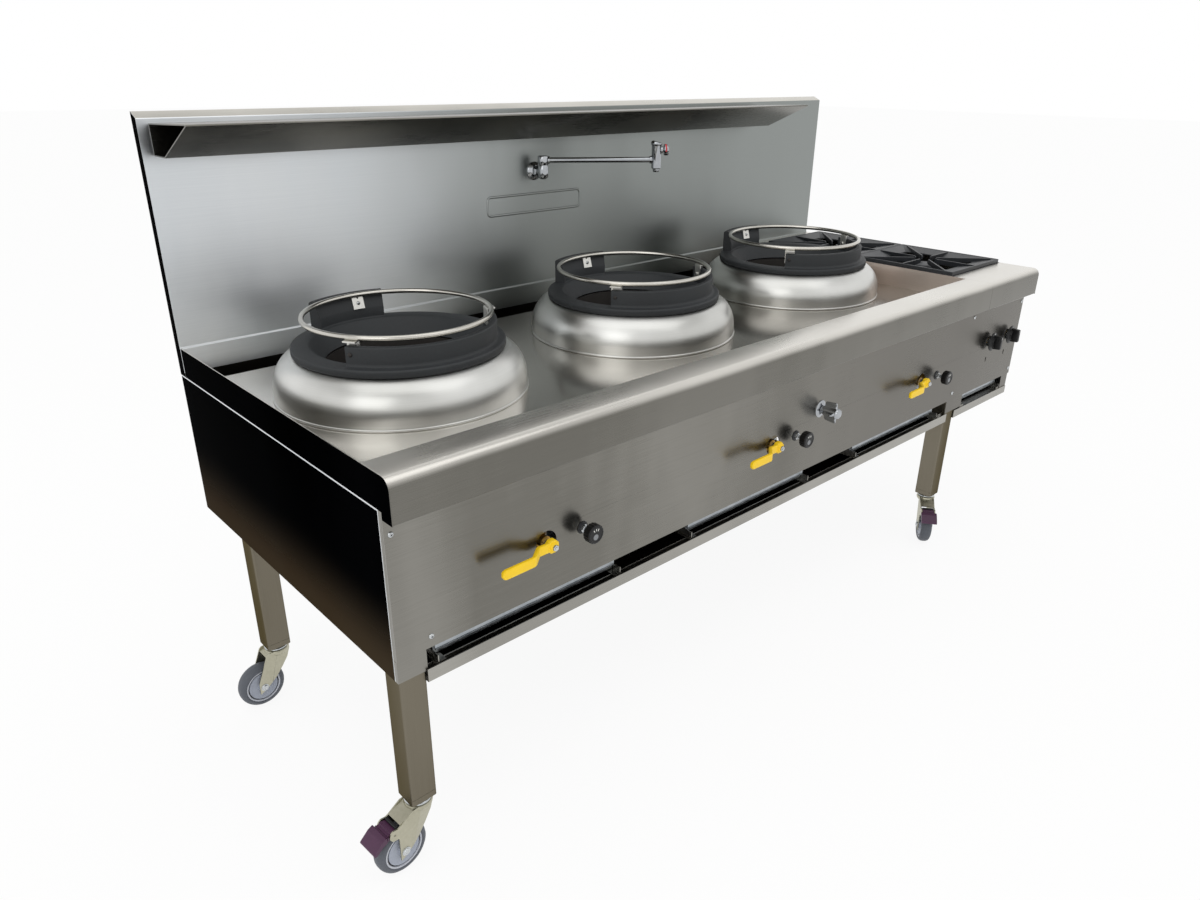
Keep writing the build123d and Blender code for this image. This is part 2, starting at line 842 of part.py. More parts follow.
def gas_pipes():
    """The pipes from the valves to the burners."""
    group = []
    for x, burner_x in zip(lever_xs, wok_xs):
        low = lever_z - ball_valve_height / 2
        route = [
            (x, valve_y, low),
            (x, valve_y, feed_z),
            (burner_x, wok_y, feed_z),
            (burner_x, wok_y, neck_bottom),
        ]
        group.append(pipe(route, feed_r))
    for x, burner_x in zip(pilot_xs, wok_xs):
        side_x = burner_x + pilot_side
        route = [
            (x, valve_y, lever_z - small_valve_r),
            (x, valve_y, pilot_tube_z),
            (side_x, wok_y, pilot_tube_z),
            (side_x, wok_y, head_bottom - pilot_tube_r),
        ]
        group.append(pipe(route, pilot_tube_r))
    for x, y in zip(hob_knob_xs, hob_burner_ys):
        low = hob_knob_z - 2 * small_valve_r
        route = [
            (x, valve_y, hob_knob_z - small_valve_r),
            (x, valve_y, low),
            (hob_burner_x, y, low),
            (hob_burner_x, y, cup_bottom),
        ]
        group.append(pipe(route, small_tube_r))
    return group


def small_valve(x, z, stem_r):
    """A knob's valve: an upright body with a bored neck towards the panel."""
    body = rod((x, valve_y, z - small_valve_r), (x, valve_y, z + small_valve_r), small_valve_r)
    front = valve_y - small_valve_length
    body += rod((x, front, z), (x, valve_y, z), stem_r + small_neck_wall)
    return body - rod((x, front - 1, z), (x, valve_y + push_travel + 1, z), stem_r + stem_clearance)


def gas_valves():
    group = []
    for x in lever_xs:
        low = lever_z - ball_valve_height / 2
        body = rod((x, valve_y, low), (x, valve_y, low + ball_valve_height), ball_valve_r)
        front = valve_y - small_valve_length
        body += rod((x, front, lever_z), (x, valve_y, lever_z), ball_neck_r)
        bore_r = lever_stem_r + stem_clearance
        body -= rod((x, front - 1, lever_z), (x, valve_y + 1, lever_z), bore_r)
        group.append(body)
    group += [small_valve(x, lever_z, pilot_stem_r) for x in pilot_xs]
    group += [small_valve(x, hob_knob_z, hob_stem_r) for x in hob_knob_xs]
    return group


# ---- controls ----
def valve_lever(x):
    """A cranked flat lever that points left, with its nut and its stem into the valve."""
    path = [
        (lever_t, lever_plate_y),
        (-lever_elbow, lever_plate_y),
        (-lever_elbow - lever_slope, lever_plate_y - lever_step),
        (-lever_reach, lever_plate_y - lever_step),
    ]
    low = lever_z - lever_width / 2
    band = extrude(Plane.XY.offset(low) * outline(strip(path, lever_t)), lever_width)
    end_x = -lever_reach + lever_width / 2
    far = rod((end_x, -2 * lever_reach, lever_z), (end_x, lever_reach, lever_z), lever_width / 2)
    far += block(end_x, lever_reach, -2 * lever_reach, lever_reach, low, low + lever_width)
    band = band & far
    hub_y = lever_plate_y + lever_t
    band += rod((0, lever_plate_y, lever_z), (0, hub_y + lever_t, lever_z), lever_hub_r)
    band += rod((0, lever_plate_y - lever_nut_t, lever_z), (0, lever_plate_y + 1, lever_z), lever_nut_r)
    band += rod((0, hub_y, lever_z), (0, valve_y - 1, lever_z), lever_stem_r)
    return Pos(x, 0, 0) * band


def knob_stem(x, z, radius, front):
    """A valve's sliding stem, from inside the knob to inside the valve."""
    return rod((x, front, z), (x, valve_y, z), radius)


def pilot_knob(x):
    back = pilot_knob_front + pilot_knob_t
    body = rod((x, pilot_knob_front, lever_z), (x, back, lever_z), pilot_knob_r)
    body = fillet(body.edges().filter_by(GeomType.CIRCLE).sort_by(Axis.Y)[0], pilot_knob_edge)
    bore_front = pilot_knob_front + pilot_knob_t / 3
    return body - rod((x, bore_front, lever_z), (x, back + 1, lever_z), pilot_stem_r + stem_clearance)


def hob_knob(x):
    back = hob_knob_back
    front = back - hob_skirt_t
    body = rod((x, front, hob_knob_z), (x, back, hob_knob_z), hob_skirt_r)
    grip_front = front - hob_grip_depth
    body += rod((x, front - hob_grip_depth / 3, hob_knob_z), (x, front, hob_knob_z), hob_grip_r)
    half = hob_bar_width / 2
    bar = block(x - half, x + half, grip_front, front, hob_knob_z - hob_grip_r, hob_knob_z + hob_grip_r)
    body += fillet(bar.edges().filter_by(Axis.Y), half / 3)
    bore_front = front - hob_grip_depth / 2
    bore_r = hob_stem_r + stem_clearance
    return body - rod((x, bore_front, hob_knob_z), (x, back + 1, hob_knob_z), bore_r)


# ---- water ----
def tap_body():
    flange_y = panel_y - tap_flange_t
    body = rod((tap_x, flange_y, tap_z), (tap_x, panel_y, tap_z), tap_flange_r)
    body += rod((tap_x, tap_handle_back + joint_gap, tap_z), (tap_x, panel_y, tap_z), tap_neck_r)
    body += rod((tap_x, panel_y, tap_z), (tap_x, tap_body_end, tap_z), tap_body_r)
    branch_y = tap_body_end - tap_body_r
    body += rod((tap_x, branch_y, tap_z - tap_branch), (tap_x, branch_y, tap_z), tap_branch_r)
    stem_front = (tap_handle_front + tap_handle_back) / 2
    return body + rod((tap_x, stem_front, tap_z), (tap_x, tap_handle_back + joint_gap, tap_z), tap_stem_r)


def tap_handle():
    body = rod((tap_x, tap_handle_front, tap_z), (tap_x, tap_handle_back, tap_z), tap_hub_r)
    half = tap_paddle_w / 2
    y0 = tap_handle_front + half / 2
    y1 = tap_handle_back - half / 2
    body += block(tap_x - tap_paddle, tap_x + tap_paddle, y0, y1, tap_z - half, tap_z + half)
    body += block(tap_x - half, tap_x + half, y0, y1, tap_z - tap_paddle, tap_z + tap_paddle)
    stem_front = (tap_handle_front + tap_handle_back) / 2
    bore_front = (tap_x, stem_front - joint_gap, tap_z)
    return body - rod(bore_front, (tap_x, tap_handle_back + 1, tap_z), tap_stem_r + stem_clearance)


def water_pipes():
    supply = pipe(
        [
            (tap_x, tap_body_end - tap_body_r, tap_z - tap_branch),
            (tap_x, tap_body_end - tap_body_r, water_inlet_z),
            (water_inlet_x, tap_body_end + tap_body_r, water_inlet_z),
            (water_inlet_x, water_inlet_y, water_inlet_z),
        ],
        water_r,
    )
    end = (water_inlet_x, water_inlet_y, water_inlet_z)
    supply += Pos(*end) * Sphere(water_inlet_r * elbow_share)
    supply += rod((water_inlet_x, water_inlet_y, inlet_bottom), end, water_inlet_r)
    riser = pipe(
        [
            (tap_x, tap_body_end, tap_z),
            (tap_x, water_y, tap_z),
            (tap_x, water_y, faucet_z),
            (faucet_x, water_y, faucet_z),
        ],
        water_r,
    )
    link_end = (faucet_x, back_face_y + sheet, faucet_z)
    riser += rod(link_end, (faucet_x, water_y, faucet_z), riser_end_r)
    return [supply, riser]


def faucet_base():
    flange_y = back_face_y - faucet_flange_t
    link_end = (faucet_x, back_face_y + sheet, faucet_z)
    body = rod((faucet_x, flange_y, faucet_z), (faucet_x, back_face_y, faucet_z), faucet_flange_r)
    body += rod((faucet_x, faucet_post_y, faucet_z), link_end, faucet_link_r)
    post = (faucet_x, faucet_post_y, faucet_joint_z)
    body += rod((faucet_x, faucet_post_y, faucet_post_bottom), post, faucet_post_r)
    pin_top = (faucet_x, faucet_post_y, (faucet_joint_z + faucet_top) / 2)
    return body + rod(post, pin_top, faucet_pin_r)


def spout_end():
    turn = radians(spout_angle)
    return faucet_x + spout_reach * cos(turn), faucet_post_y + spout_reach * sin(turn)


def faucet_arm():
    end_x, end_y = spout_end()
    body = rod(
        (faucet_x, faucet_post_y, faucet_joint_z + joint_gap),
        (faucet_x, faucet_post_y, faucet_top),
        faucet_post_r,
    )
    body += rod((faucet_x, faucet_post_y, spout_z), (end_x, end_y, spout_z), spout_r)
    bore_top = (faucet_joint_z + faucet_top) / 2 + joint_gap
    body -= rod(
        (faucet_x, faucet_post_y, faucet_joint_z - 1),
        (faucet_x, faucet_post_y, bore_top),
        faucet_pin_r + stem_clearance,
    )
    body += rod((end_x, end_y, spout_valve_bottom), (end_x, end_y, spout_valve_top), spout_valve_r)
    cap = rod((end_x, end_y, spout_valve_top), (end_x, end_y, spout_valve_top + spout_cap_t), spout_cap_r)
    body += fillet(cap.edges().filter_by(GeomType.CIRCLE).sort_by(Axis.Z)[-1], spout_cap_t / 2)
    low = spout_valve_bottom - spout_nozzle
    body += rod((end_x, end_y, low), (end_x, end_y, spout_valve_bottom), spout_nozzle_r)
    turn = radians(spout_angle)
    stem_z = spout_valve_top - spout_valve_r
    tip = (end_x + spout_stem_reach * cos(turn), end_y + spout_stem_reach * sin(turn), stem_z)
    return body + rod((end_x, end_y, stem_z), tip, spout_stem_r)


def faucet_handle():
    """A small round handle on the spout valve's stem."""
    end_x, end_y = spout_end()
    turn = radians(spout_angle)
    z = spout_valve_top - spout_valve_r
    near = spout_stem_reach - spout_handle_t / 2

    def at(reach):
        return end_x + reach * cos(turn), end_y + reach * sin(turn), z

    body = rod(at(near), at(near + spout_handle_t), spout_handle_r)
    return body - rod(at(near - 1), at(spout_stem_reach + joint_gap), spout_stem_r + stem_clearance)


# ---- hob ----
def hob_burners():
    group = []
    for y in hob_burner_ys:
        place = Pos(hob_burner_x, y, 0)
        flange_top = pan_z + burner_flange_t
        head_top = flange_top + burner_head_t
        body = rod((0, 0, cup_bottom), (0, 0, pan_z), cup_r)
        body += rod((0, 0, pan_z), (0, 0, flange_top), burner_flange_r)
        body += rod((0, 0, flange_top), (0, 0, head_top), burner_head_r)
        cap = rod((0, 0, head_top), (0, 0, head_top + burner_cap_t), burner_cap_r)
        group += [place * body, place * cap]
    return group


def trivet(y0, y1, centre_y):
    x0 = wok_bay + bay_gap / 2 + sheet + trivet_gap
    x1 = width - sheet - trivet_gap
    z0 = trivet_top - trivet_bar_height
    bar = trivet_bar
    body = block(x0, x1, y0, y1, z0, trivet_top)
    body -= block(x0 + bar, x1 - bar, y0 + bar, y1 - bar, z0, trivet_top)
    reach = hypot(x1 - x0, y1 - y0)
    half = trivet_finger / 2
    for i in range(trivet_fingers):
        finger = Pos(hob_burner_x, centre_y, 0) * Rot(0, 0, 360 * i / trivet_fingers)
        finger = finger * block(trivet_eye, reach, -half, half, z0, trivet_top)
        body += finger & block(x0 + 1, x1 - 1, y0 + 1, y1 - 1, z0, trivet_top)
    for x in (x0, x1 - bar):
        for y in (y0, y1 - bar):
            body += block(x, x + bar, y, y + bar, pan_z, z0)
    return body


def trivets():
    front = hob_rim_depth + trivet_gap
    rear = pan_rear_y - trivet_gap
    middle = (front + rear) / 2
    half_gap = trivet_gap / 2
    return [
        trivet(front, middle - half_gap, hob_burner_ys[0]),
        trivet(middle + half_gap, rear, hob_burner_ys[1]),
    ]


# ---- casters, each drawn with its wheel trailing along +X from the swivel's axis ----
def caster_place(name):
    x, y = leg_places[name]
    return Pos(x, y, 0) * Rot(0, 0, caster_angles[name])


def fork_cheek(y0, braked):
    top = leg_bottom - plug_t - joint_gap
    low = top - fork_top_t
    lug_x = pedal_pivot_x if braked else trail
    axle_half = axle_head_r + 3
    points = [
        (-fork_top_r, top),
        (fork_top_r, top),
        (lug_x + 4, pedal_pivot_z + 10),
        (lug_x + 10, pedal_pivot_z),
        (lug_x + 4, pedal_pivot_z - 10),
        (trail + axle_half, pedal_pivot_z - 12),
        (trail + axle_half, wheel_r - 2),
        (trail + axle_half / 2, wheel_r - axle_half),
        (trail - axle_half / 2, wheel_r - axle_half),
        (trail - axle_half, wheel_r - 2),
        (-fork_top_r, low),
    ]
    face = Plane.XZ.offset(-y0 - fork_t) * outline(points)
    return extrude(face, fork_t)


def caster_fork(name):
    braked = name in ("fl", "fr")
    top = leg_bottom - plug_t - joint_gap
    low = top - fork_top_t
    outer = fork_inner + fork_t
    body = rod((0, 0, low), (0, 0, top), fork_top_r)
    body += block(-fork_top_r * 0.6, fork_top_r, -outer, outer, top - fork_t, top)
    for y in (-outer, fork_inner):
        body += fork_cheek(y, braked)
    body -= rod((0, 0, low - 1), (0, 0, top + 1), king_pin_r + stem_clearance)
    clear = king_head_r + 1
    body -= rod((0, 0, 0), (0, 0, leg_bottom - plug_t - king_pin_length + 1), clear)
    body -= rod((trail, -2 * outer, wheel_r), (trail, 2 * outer, wheel_r), axle_r + stem_clearance)
    if braked:
        pivot = (pedal_pivot_x, pedal_pivot_z)
        bore_r = pedal_pin_r + stem_clearance
        body -= rod((pivot[0], -2 * outer, pivot[1]), (pivot[0], 2 * outer, pivot[1]), bore_r)
    reach = outer + axle_head_t
    axle = rod((trail, -reach, wheel_r), (trail, reach, wheel_r), axle_r)
    for side in (-1, 1):
        axle += rod((trail, side * (outer + joint_gap), wheel_r), (trail, side * reach, wheel_r), axle_head_r)
    return [caster_place(name) * body, caster_place(name) * axle]


def caster_wheel(name):
    def disc(radius, half):
        return rod((trail, -half, wheel_r), (trail, half, wheel_r), radius)

    hub = disc(tyre_inner_r, hub_half) + disc(hub_boss_r, hub_boss_half)
    hub -= disc(axle_r + stem_clearance, 2 * hub_boss_half)
    tyre = disc(wheel_r, tyre_half)
    tyre = fillet(tyre.edges().filter_by(GeomType.CIRCLE), tyre_shoulder)
    tyre -= disc(tyre_inner_r, 2 * tyre_half)
    return [caster_place(name) * hub, caster_place(name) * tyre]


def brake_pedal(name):
    x = pedal_pivot_x
    z = pedal_pivot_z
    narrow = [
        (x - 5, z + 5),
        (x + 8, z + 8),
        (x + 20, z + 4),
        (x + 20, z - 4),
        (x + 3, z - 3),
    ]
    wide = [
        (x + 15, z + 9),
        (x + 27, z + 3),
        (x + 44, z - 13),
        (x + 40, z - 17),
        (x + 23, z - 5),
        (x + 15, z - 3),
    ]
    body = extrude(Plane.XZ.offset(-pedal_half) * outline(narrow), 2 * pedal_half)
    body += extrude(Plane.XZ.offset(-pedal_wide_half) * outline(wide), 2 * pedal_wide_half)
    outer = fork_inner + fork_t
    body += rod((x, -outer, z), (x, outer, z), pedal_pin_r)
    return caster_place(name) * body


def panel_screws():
    places = [
        (11, nosing_bottom - 27),
        (63, panel_bottom + 20),
        (wok_bay - 14, nosing_bottom - 23),
        (right_leg_x + 14, panel_bottom + 20),
        (width - 10, nosing_bottom - 26),
        (width - 10, panel_bottom + 17),
    ]
    return [rod((x, panel_y - screw_t, z), (x, panel_y, z), screw_r) for x, z in places]


# ---- the whole ----
pieces["legs"] = [part(place) for part in (leg, caster_plug) for place in leg_places.values()]
pieces["upper_frame"] = upper_frame()
pieces["lower_frame"] = lower_frame()
pieces["front_rail"] = front_rail()
pieces["corner_plates"] = corner_plates()
side_panels = [side_panel(0, side_bottom), side_panel(width - sheet, rail_bottom)]
pieces["outer_panels"] = side_panels + [back_panel()]
pieces["control_panel"] = control_panel()
pieces["deck_nosing"] = deck_nosing()
pieces["wok_deck"] = wok_deck()
pieces["deck_gutter"] = deck_gutter()
pieces["hob_top"] = hob_top()
pieces["splashback"] = splashback()
pieces["splashback_shelf"] = splashback_shelf()
for number, wok_x in enumerate(wok_xs, 1):
    pieces[f"dome_{number}"] = Pos(wok_x, wok_y, 0) * dome()
    pieces[f"wok_ring_{number}"] = Pos(wok_x, wok_y, 0) * wok_ring()
pieces["rest_rings"] = [Pos(x, wok_y, 0) * rest_ring() for x in wok_xs]
pieces["fire_pots"] = [Pos(x, wok_y, 0) * fire_pot() for x in wok_xs]
pieces["wok_burners"] = [Pos(x, wok_y, 0) * wok_burner() for x in wok_xs]
pieces["gas_manifold"] = gas_manifold()
pieces["gas_pipes"] = gas_pipes()
pieces["gas_valves"] = gas_valves()
pieces["water_pipes"] = water_pipes()
pieces["water_fittings"] = [tap_body(), faucet_base()]
pieces["tap_handle"] = tap_handle()
pieces["faucet_arm"] = faucet_arm()
pieces["faucet_handle"] = faucet_handle()
pieces["hob_burners"] = hob_burners()
pieces["trivets"] = trivets()
pieces["panel_screws"] = panel_screws()
for number, (x, pilot_x, tray_x) in enumerate(zip(lever_xs, pilot_xs, tray_xs), 1):
    pieces[f"valve_lever_{number}"] = valve_lever(x)
    stem_front = pilot_knob_front + pilot_knob_t / 2
    pieces[f"pilot_stem_{number}"] = knob_stem(pilot_x, lever_z, pilot_stem_r, stem_front)
    pieces[f"pilot_knob_{number}"] = pilot_knob(pilot_x)
    pieces[f"drip_tray_{number}"] = drip_tray(tray_x, tray_width)
pieces["hob_drip_tray"] = drip_tray(hob_tray_x, hob_tray_width)
for number, x in enumerate(hob_knob_xs, 1):
    stem_front = hob_knob_back - hob_skirt_t - hob_grip_depth / 2 + joint_gap
    pieces[f"hob_stem_{number}"] = knob_stem(x, hob_knob_z, hob_stem_r, stem_front)
    pieces[f"hob_knob_{number}"] = hob_knob(x)
for name in leg_places:
    pieces[f"caster_{name}_fork"] = caster_fork(name)
    pieces[f"caster_{name}_wheel"] = caster_wheel(name)
for name in ("fl", "fr"):
    pieces[f"brake_pedal_{name}"] = brake_pedal(name)

groups = {}
for name, shape in pieces.items():
    solids = [solid for item in (shape if isinstance(shape, list) else [shape]) for solid in item.solids()]
    groups[name] = Compound(children=solids) if len(solids) > 1 else solids[0]
box = Compound(children=[solid for shape in groups.values() for solid in shape.solids()]).bounding_box()
origin = ((box.min.X + box.max.X) / 2, (box.min.Y + box.max.Y) / 2, box.min.Z)
to_origin = Pos(-origin[0], -origin[1], -origin[2])

os.makedirs("parts", exist_ok=True)
for name, shape in groups.items():
    export_step(to_origin * shape, f"parts/{name}.step")
print(len(groups), "nodes, size", box.size, "origin", origin)
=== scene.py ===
import bmesh
import bpy
import numpy as np
from mathutils import Euler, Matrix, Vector
from mathutils.geometry import tessellate_polygon


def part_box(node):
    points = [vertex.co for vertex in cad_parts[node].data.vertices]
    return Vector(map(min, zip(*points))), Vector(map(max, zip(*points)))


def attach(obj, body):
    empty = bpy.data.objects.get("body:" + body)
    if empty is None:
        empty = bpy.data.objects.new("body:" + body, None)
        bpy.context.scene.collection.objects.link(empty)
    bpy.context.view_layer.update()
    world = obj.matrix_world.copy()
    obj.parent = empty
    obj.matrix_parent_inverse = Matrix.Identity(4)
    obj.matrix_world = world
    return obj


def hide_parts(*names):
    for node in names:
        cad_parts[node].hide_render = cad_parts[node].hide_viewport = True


# Three-ring wok range with a two-burner hob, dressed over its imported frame.
# Sizes are millimetres from the body's left edge, the nosing's front face and the floor.

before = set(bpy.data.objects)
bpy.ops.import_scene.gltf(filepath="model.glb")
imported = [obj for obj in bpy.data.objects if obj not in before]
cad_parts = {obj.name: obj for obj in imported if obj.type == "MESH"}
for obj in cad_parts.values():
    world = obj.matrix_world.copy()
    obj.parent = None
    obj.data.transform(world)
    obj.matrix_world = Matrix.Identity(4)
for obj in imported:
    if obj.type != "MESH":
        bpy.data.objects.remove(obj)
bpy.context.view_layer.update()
splashLow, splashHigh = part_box("splashback")

body = {
    "width": 2100,
    "depth": 825,
    "rimHeight": 750,
    "deckHeight": 693,
    "panelFace": 28,
    "panelTop": 690.7,
    "worktopBack": 796.7,
}
bodyCorner = np.array([splashLow.x, splashHigh.y - body["depth"] / 1000, 0.0])
sheet = 2
darkReflectionSkin = 0.35  # a sheet's outer layer, which carries the painted dark reflection on outward sides
wokCentres = [(299, 465), (924, 465), (1549, 465)]
leverPlaces = [296, 921, 1546]
controlHeight = 529
pilotOffset = 81


# A lump is points in body millimetres, faces, a UV in metres for each corner, and finish numbers.
def gridLump(points, wrapU=False, wrapV=False, capU=False, finish=0):
    # quads between neighbours of a grid of points; caps close its first and last row
    points = np.asarray(points, float)
    nu, nv = points.shape[:2]
    i, j = np.meshgrid(np.arange(nu if wrapU else nu - 1), np.arange(nv if wrapV else nv - 1),
                       indexing="ij")
    i, j = i.ravel(), j.ravel()
    iNext, jNext = (i + 1) % nu, (j + 1) % nv
    quads = np.stack([i * nv + j, iNext * nv + j, iNext * nv + jNext, i * nv + jNext], 1)
    stepU = np.linalg.norm(np.roll(points, -1, 0) - points, axis=2).mean(1)
    stepV = np.linalg.norm(np.roll(points, -1, 1) - points, axis=2).mean(0)
    alongU = np.concatenate([[0], np.cumsum(stepU)]) / 1000
    alongV = np.concatenate([[0], np.cumsum(stepV)]) / 1000
    corner = [(i, j), (i + 1, j), (i + 1, j + 1), (i, j + 1)]
    uv = np.stack([np.stack([alongU[a], alongV[b]], 1) for a, b in corner], 1).reshape(-1, 2)
    faces = quads.tolist()
    if capU:
        for row in (0, nu - 1):
            faces.append((row * nv + np.arange(nv)).tolist())
            edge = points[row]
            flat = np.sort(np.argsort(np.ptp(edge, axis=0))[-2:])
            uv = np.concatenate([uv, edge[:, flat] / 1000])
    return {"points": points.reshape(-1, 3), "faces": faces, "uv": uv, "finish": finish}


def moved(lump, angle=0, centre=(0, 0, 0), axis="z"):
    # a copy turned about an axis by degrees, then carried to a centre
    turn = np.radians(angle)
    a, b = {"x": (1, 2), "y": (2, 0), "z": (0, 1)}[axis]
    spin = np.eye(3)
    spin[a, a] = spin[b, b] = np.cos(turn)
    spin[a, b], spin[b, a] = np.sin(turn), -np.sin(turn)
    return {**lump, "points": lump["points"] @ spin + np.asarray(centre, float)}


def unit(vector):
    vector = np.asarray(vector, float)
    return vector / np.linalg.norm(vector, axis=-1, keepdims=True)


def softened(outline, radii, steps=6, closed=True):
    # each corner becomes an arc of its radius, tangent to both sides:
    # its centre lies on the bisector, radius / sin(half the angle) away
    outline = np.asarray(outline, float)
    radii = np.broadcast_to(radii, len(outline))
    made = []
    for n, (point, radius) in enumerate(zip(outline, radii)):
        if radius == 0 or (not closed and n in (0, len(outline) - 1)):
            made.append(point[None])
            continue
        back = unit(outline[n - 1] - point)
        ahead = unit(outline[(n + 1) % len(outline)] - point)
        half = np.arccos(np.clip(back @ ahead, -1, 1)) / 2
        middle = point + unit(back + ahead) * radius / np.sin(half)
        start = point + back * radius / np.tan(half) - middle
        end = point + ahead * radius / np.tan(half) - middle
        sweep = np.pi - 2 * half
        k = np.linspace(0, 1, steps + 1)[:, None]
        made.append(middle + (start * np.sin((1 - k) * sweep) + end * np.sin(k * sweep)) / np.sin(sweep))
    return np.concatenate(made)


def folded(path, radii, thickness, steps=6):
    # a bent sheet's closed outline: its outer path, and the same path set back by the thickness
    path = np.asarray(path, float)
    radii = np.broadcast_to(radii, len(path)).astype(float)
    side = unit(np.diff(path, axis=0)) @ np.array([[0, -1], [1, 0]])
    before = np.concatenate([side[:1], side])
    after = np.concatenate([side, side[-1:]])
    offset = (before + after) / (1 + (before * after).sum(1))[:, None]
    turnWay = np.concatenate([[0], side[:-1, 0] * side[1:, 1] - side[:-1, 1] * side[1:, 0], [0]])
    towards = np.sign(turnWay) * np.sign(thickness)
    other = np.where(radii > 0, np.maximum(radii + towards * abs(thickness), 0.3), 0)
    outer = softened(path, radii, steps, closed=False)
    inner = softened(path + offset * thickness, other, steps, closed=False)
    return np.concatenate([outer, inner[::-1]])


def layOut(flat, start, end, along):
    # a flat outline's points at two places along an axis
    axis = "xyz".index(along)
    points = np.zeros((2, len(flat), 3))
    points[:, :, [n for n in range(3) if n != axis]] = flat
    points[:, :, axis] = [[start], [end]]
    return points


def atHeight(outline, height, along="z"):
    return layOut(outline, height, height, along)[0]


def pushed(outline, start, end, along="x", finish=0):
    # a flat closed outline carried straight from one place to another along an axis
    return gridLump(layOut(outline, start, end, along), wrapV=True, capU=True, finish=finish)


def plate(outline, holes, start, end, along="z", finish=0):
    # two flat faces with holes, and a wall from one to the other round every rim
    loops = [np.asarray(loop, float) for loop in (outline, *holes)]
    flat = np.concatenate(loops)
    tiles = np.array(tessellate_polygon([[Vector((*point, 0)) for point in loop] for loop in loops]))
    count = len(flat)
    points = layOut(flat, start, end, along)
    faces = np.concatenate([tiles[:, ::-1], tiles + count]).tolist()
    uv = [flat[tiles[:, ::-1].ravel()] / 1000, flat[tiles.ravel()] / 1000]
    first = 0
    for loop in loops:
        near = first + np.arange(len(loop))
        after = np.roll(near, -1)
        faces += np.stack([near, after, after + count, near + count], 1).tolist()
        step = np.linalg.norm(np.roll(loop, -1, 0) - loop, axis=1)
        far = np.cumsum(step) / 1000
        rise = np.full(len(loop), (end - start) / 1000)
        wall = [(far - step / 1000, 0 * rise), (far, 0 * rise), (far, rise), (far - step / 1000, rise)]
        uv.append(np.stack([np.stack(pair, 1) for pair in wall], 1).reshape(-1, 2))
        first += len(loop)
    return {"points": points.reshape(-1, 3), "faces": faces, "uv": np.concatenate(uv), "finish": finish}


def setIn(outline, distance):
    # a closed outline moved inwards: each corner goes along its two sides' mean normal,
    # distance / (1 + cosine of the turn) times their sum
    outline = np.asarray(outline, float)
    ahead = unit(np.roll(outline, -1, 0) - outline)
    x, y = outline.T
    area = (x * np.roll(y, -1) - np.roll(x, -1) * y).sum()
    normal = np.stack([-ahead[:, 1], ahead[:, 0]], 1) * np.sign(area)
    before = np.roll(normal, 1, 0)
    return outline + distance * (before + normal) / (1 + (before * normal).sum(1))[:, None]


def circle(x, y, radius, steps=48):
    angle = np.arange(steps) * 2 * np.pi / steps
    return np.stack([x + radius * np.cos(angle), y + radius * np.sin(angle)], 1)


def arc(x, y, radius, start, end, steps=8, other=None):
    # points on a circle, or on an ellipse with another height, between two angles in degrees
    angle = np.radians(np.linspace(start, end, steps + 1))
    height = radius if other is None else other
    return np.stack([x + radius * np.cos(angle), y + height * np.sin(angle)], 1).tolist()


def rodLump(start, end, radius, steps=24, finish=0):
    # a round bar with closed ends and a small chamfer at each
    start, end = np.asarray(start, float), np.asarray(end, float)
    run = end - start
    length = np.linalg.norm(run)
    cut = min(0.6, radius / 4)
    profile = [(0, 0), (radius - cut, 0), (radius, cut), (radius, length - cut), (radius - cut, length),
               (0, length)]
    return turned(profile, start, run, steps=steps, finish=finish)


def hexNut(place, axis, radius, thickness, finish=0):
    # a lathe of six steps, with its outer rim chamfered
    profile = [(0, 0), (radius, 0), (radius, thickness * 0.75), (radius * 0.85, thickness),
               (0, thickness)]
    side = (0, 0, 1) if abs(axis[2]) < 0.9 else (1, 0, 0)
    return turned(profile, place, axis, side, steps=6, finish=finish)


def turned(profile, centre=(0, 0, 0), axis=(0, 0, 1), side=None, start=0, sweep=360, steps=96,
           ripple=None, finish=0):
    # a profile of (radius, height) turned about an axis; it closes unless one of its ends is on the axis.
    # ripple(angle, radius, height) scales the radius
    profile = np.asarray(profile, float)
    whole = abs(sweep) >= 360
    angle = np.radians(start + np.linspace(0, sweep, steps + 1))[:, None]
    if whole:
        angle = angle[:-1]
    radius, height = profile[None, :, 0], profile[None, :, 1]
    if ripple is not None:
        radius = radius * ripple(angle, radius, height)
    up = unit(axis)
    if side is None:
        side = (1, 0, 0) if abs(up[0]) < 0.9 else (0, 1, 0)
    out = unit(np.asarray(side, float) - up * (np.asarray(side, float) @ up))
    third = np.cross(up, out)
    across, along = (radius * np.cos(angle))[..., None], (radius * np.sin(angle))[..., None]
    rise = (height + 0 * angle)[..., None]
    points = np.asarray(centre, float) + across * out + along * third + rise * up
    closes = min(profile[0, 0], profile[-1, 0]) > 0
    return gridLump(points, wrapU=whole, wrapV=closes, capU=not whole, finish=finish)


def swept(path, section, up=(0, 0, 1), scale=1, closed=False, finish=0):
    # a closed section (across, lift) carried along a path; across is the path's direction x up
    path = np.asarray(path, float)
    if closed:
        run = np.roll(path, -1, 0) - np.roll(path, 1, 0)
    else:
        run = np.gradient(path, axis=0)
    run = unit(run)
    across = unit(np.cross(run, np.asarray(up, float)))
    lift = np.cross(across, run)
    section = np.asarray(section, float) * np.broadcast_to(scale, (len(path), 2))[:, None]
    points = path[:, None] + section[..., :1] * across[:, None] + section[..., 1:] * lift[:, None]
    return gridLump(points, wrapU=closed, wrapV=True, capU=not closed, finish=finish)


def cornered(x0, x1, y0, y1, radius=0, steps=5):
    return softened([(x0, y0), (x1, y0), (x1, y1), (x0, y1)], radius, steps)


def bar(x0, x1, y0, y1, z0, z1, finish=0):
    return pushed(cornered(x0, x1, y0, y1), z0, z1, "z", finish)


def placed(lumps, centre, angle=0):
    return [moved(lump, angle, centre) for lump in lumps]


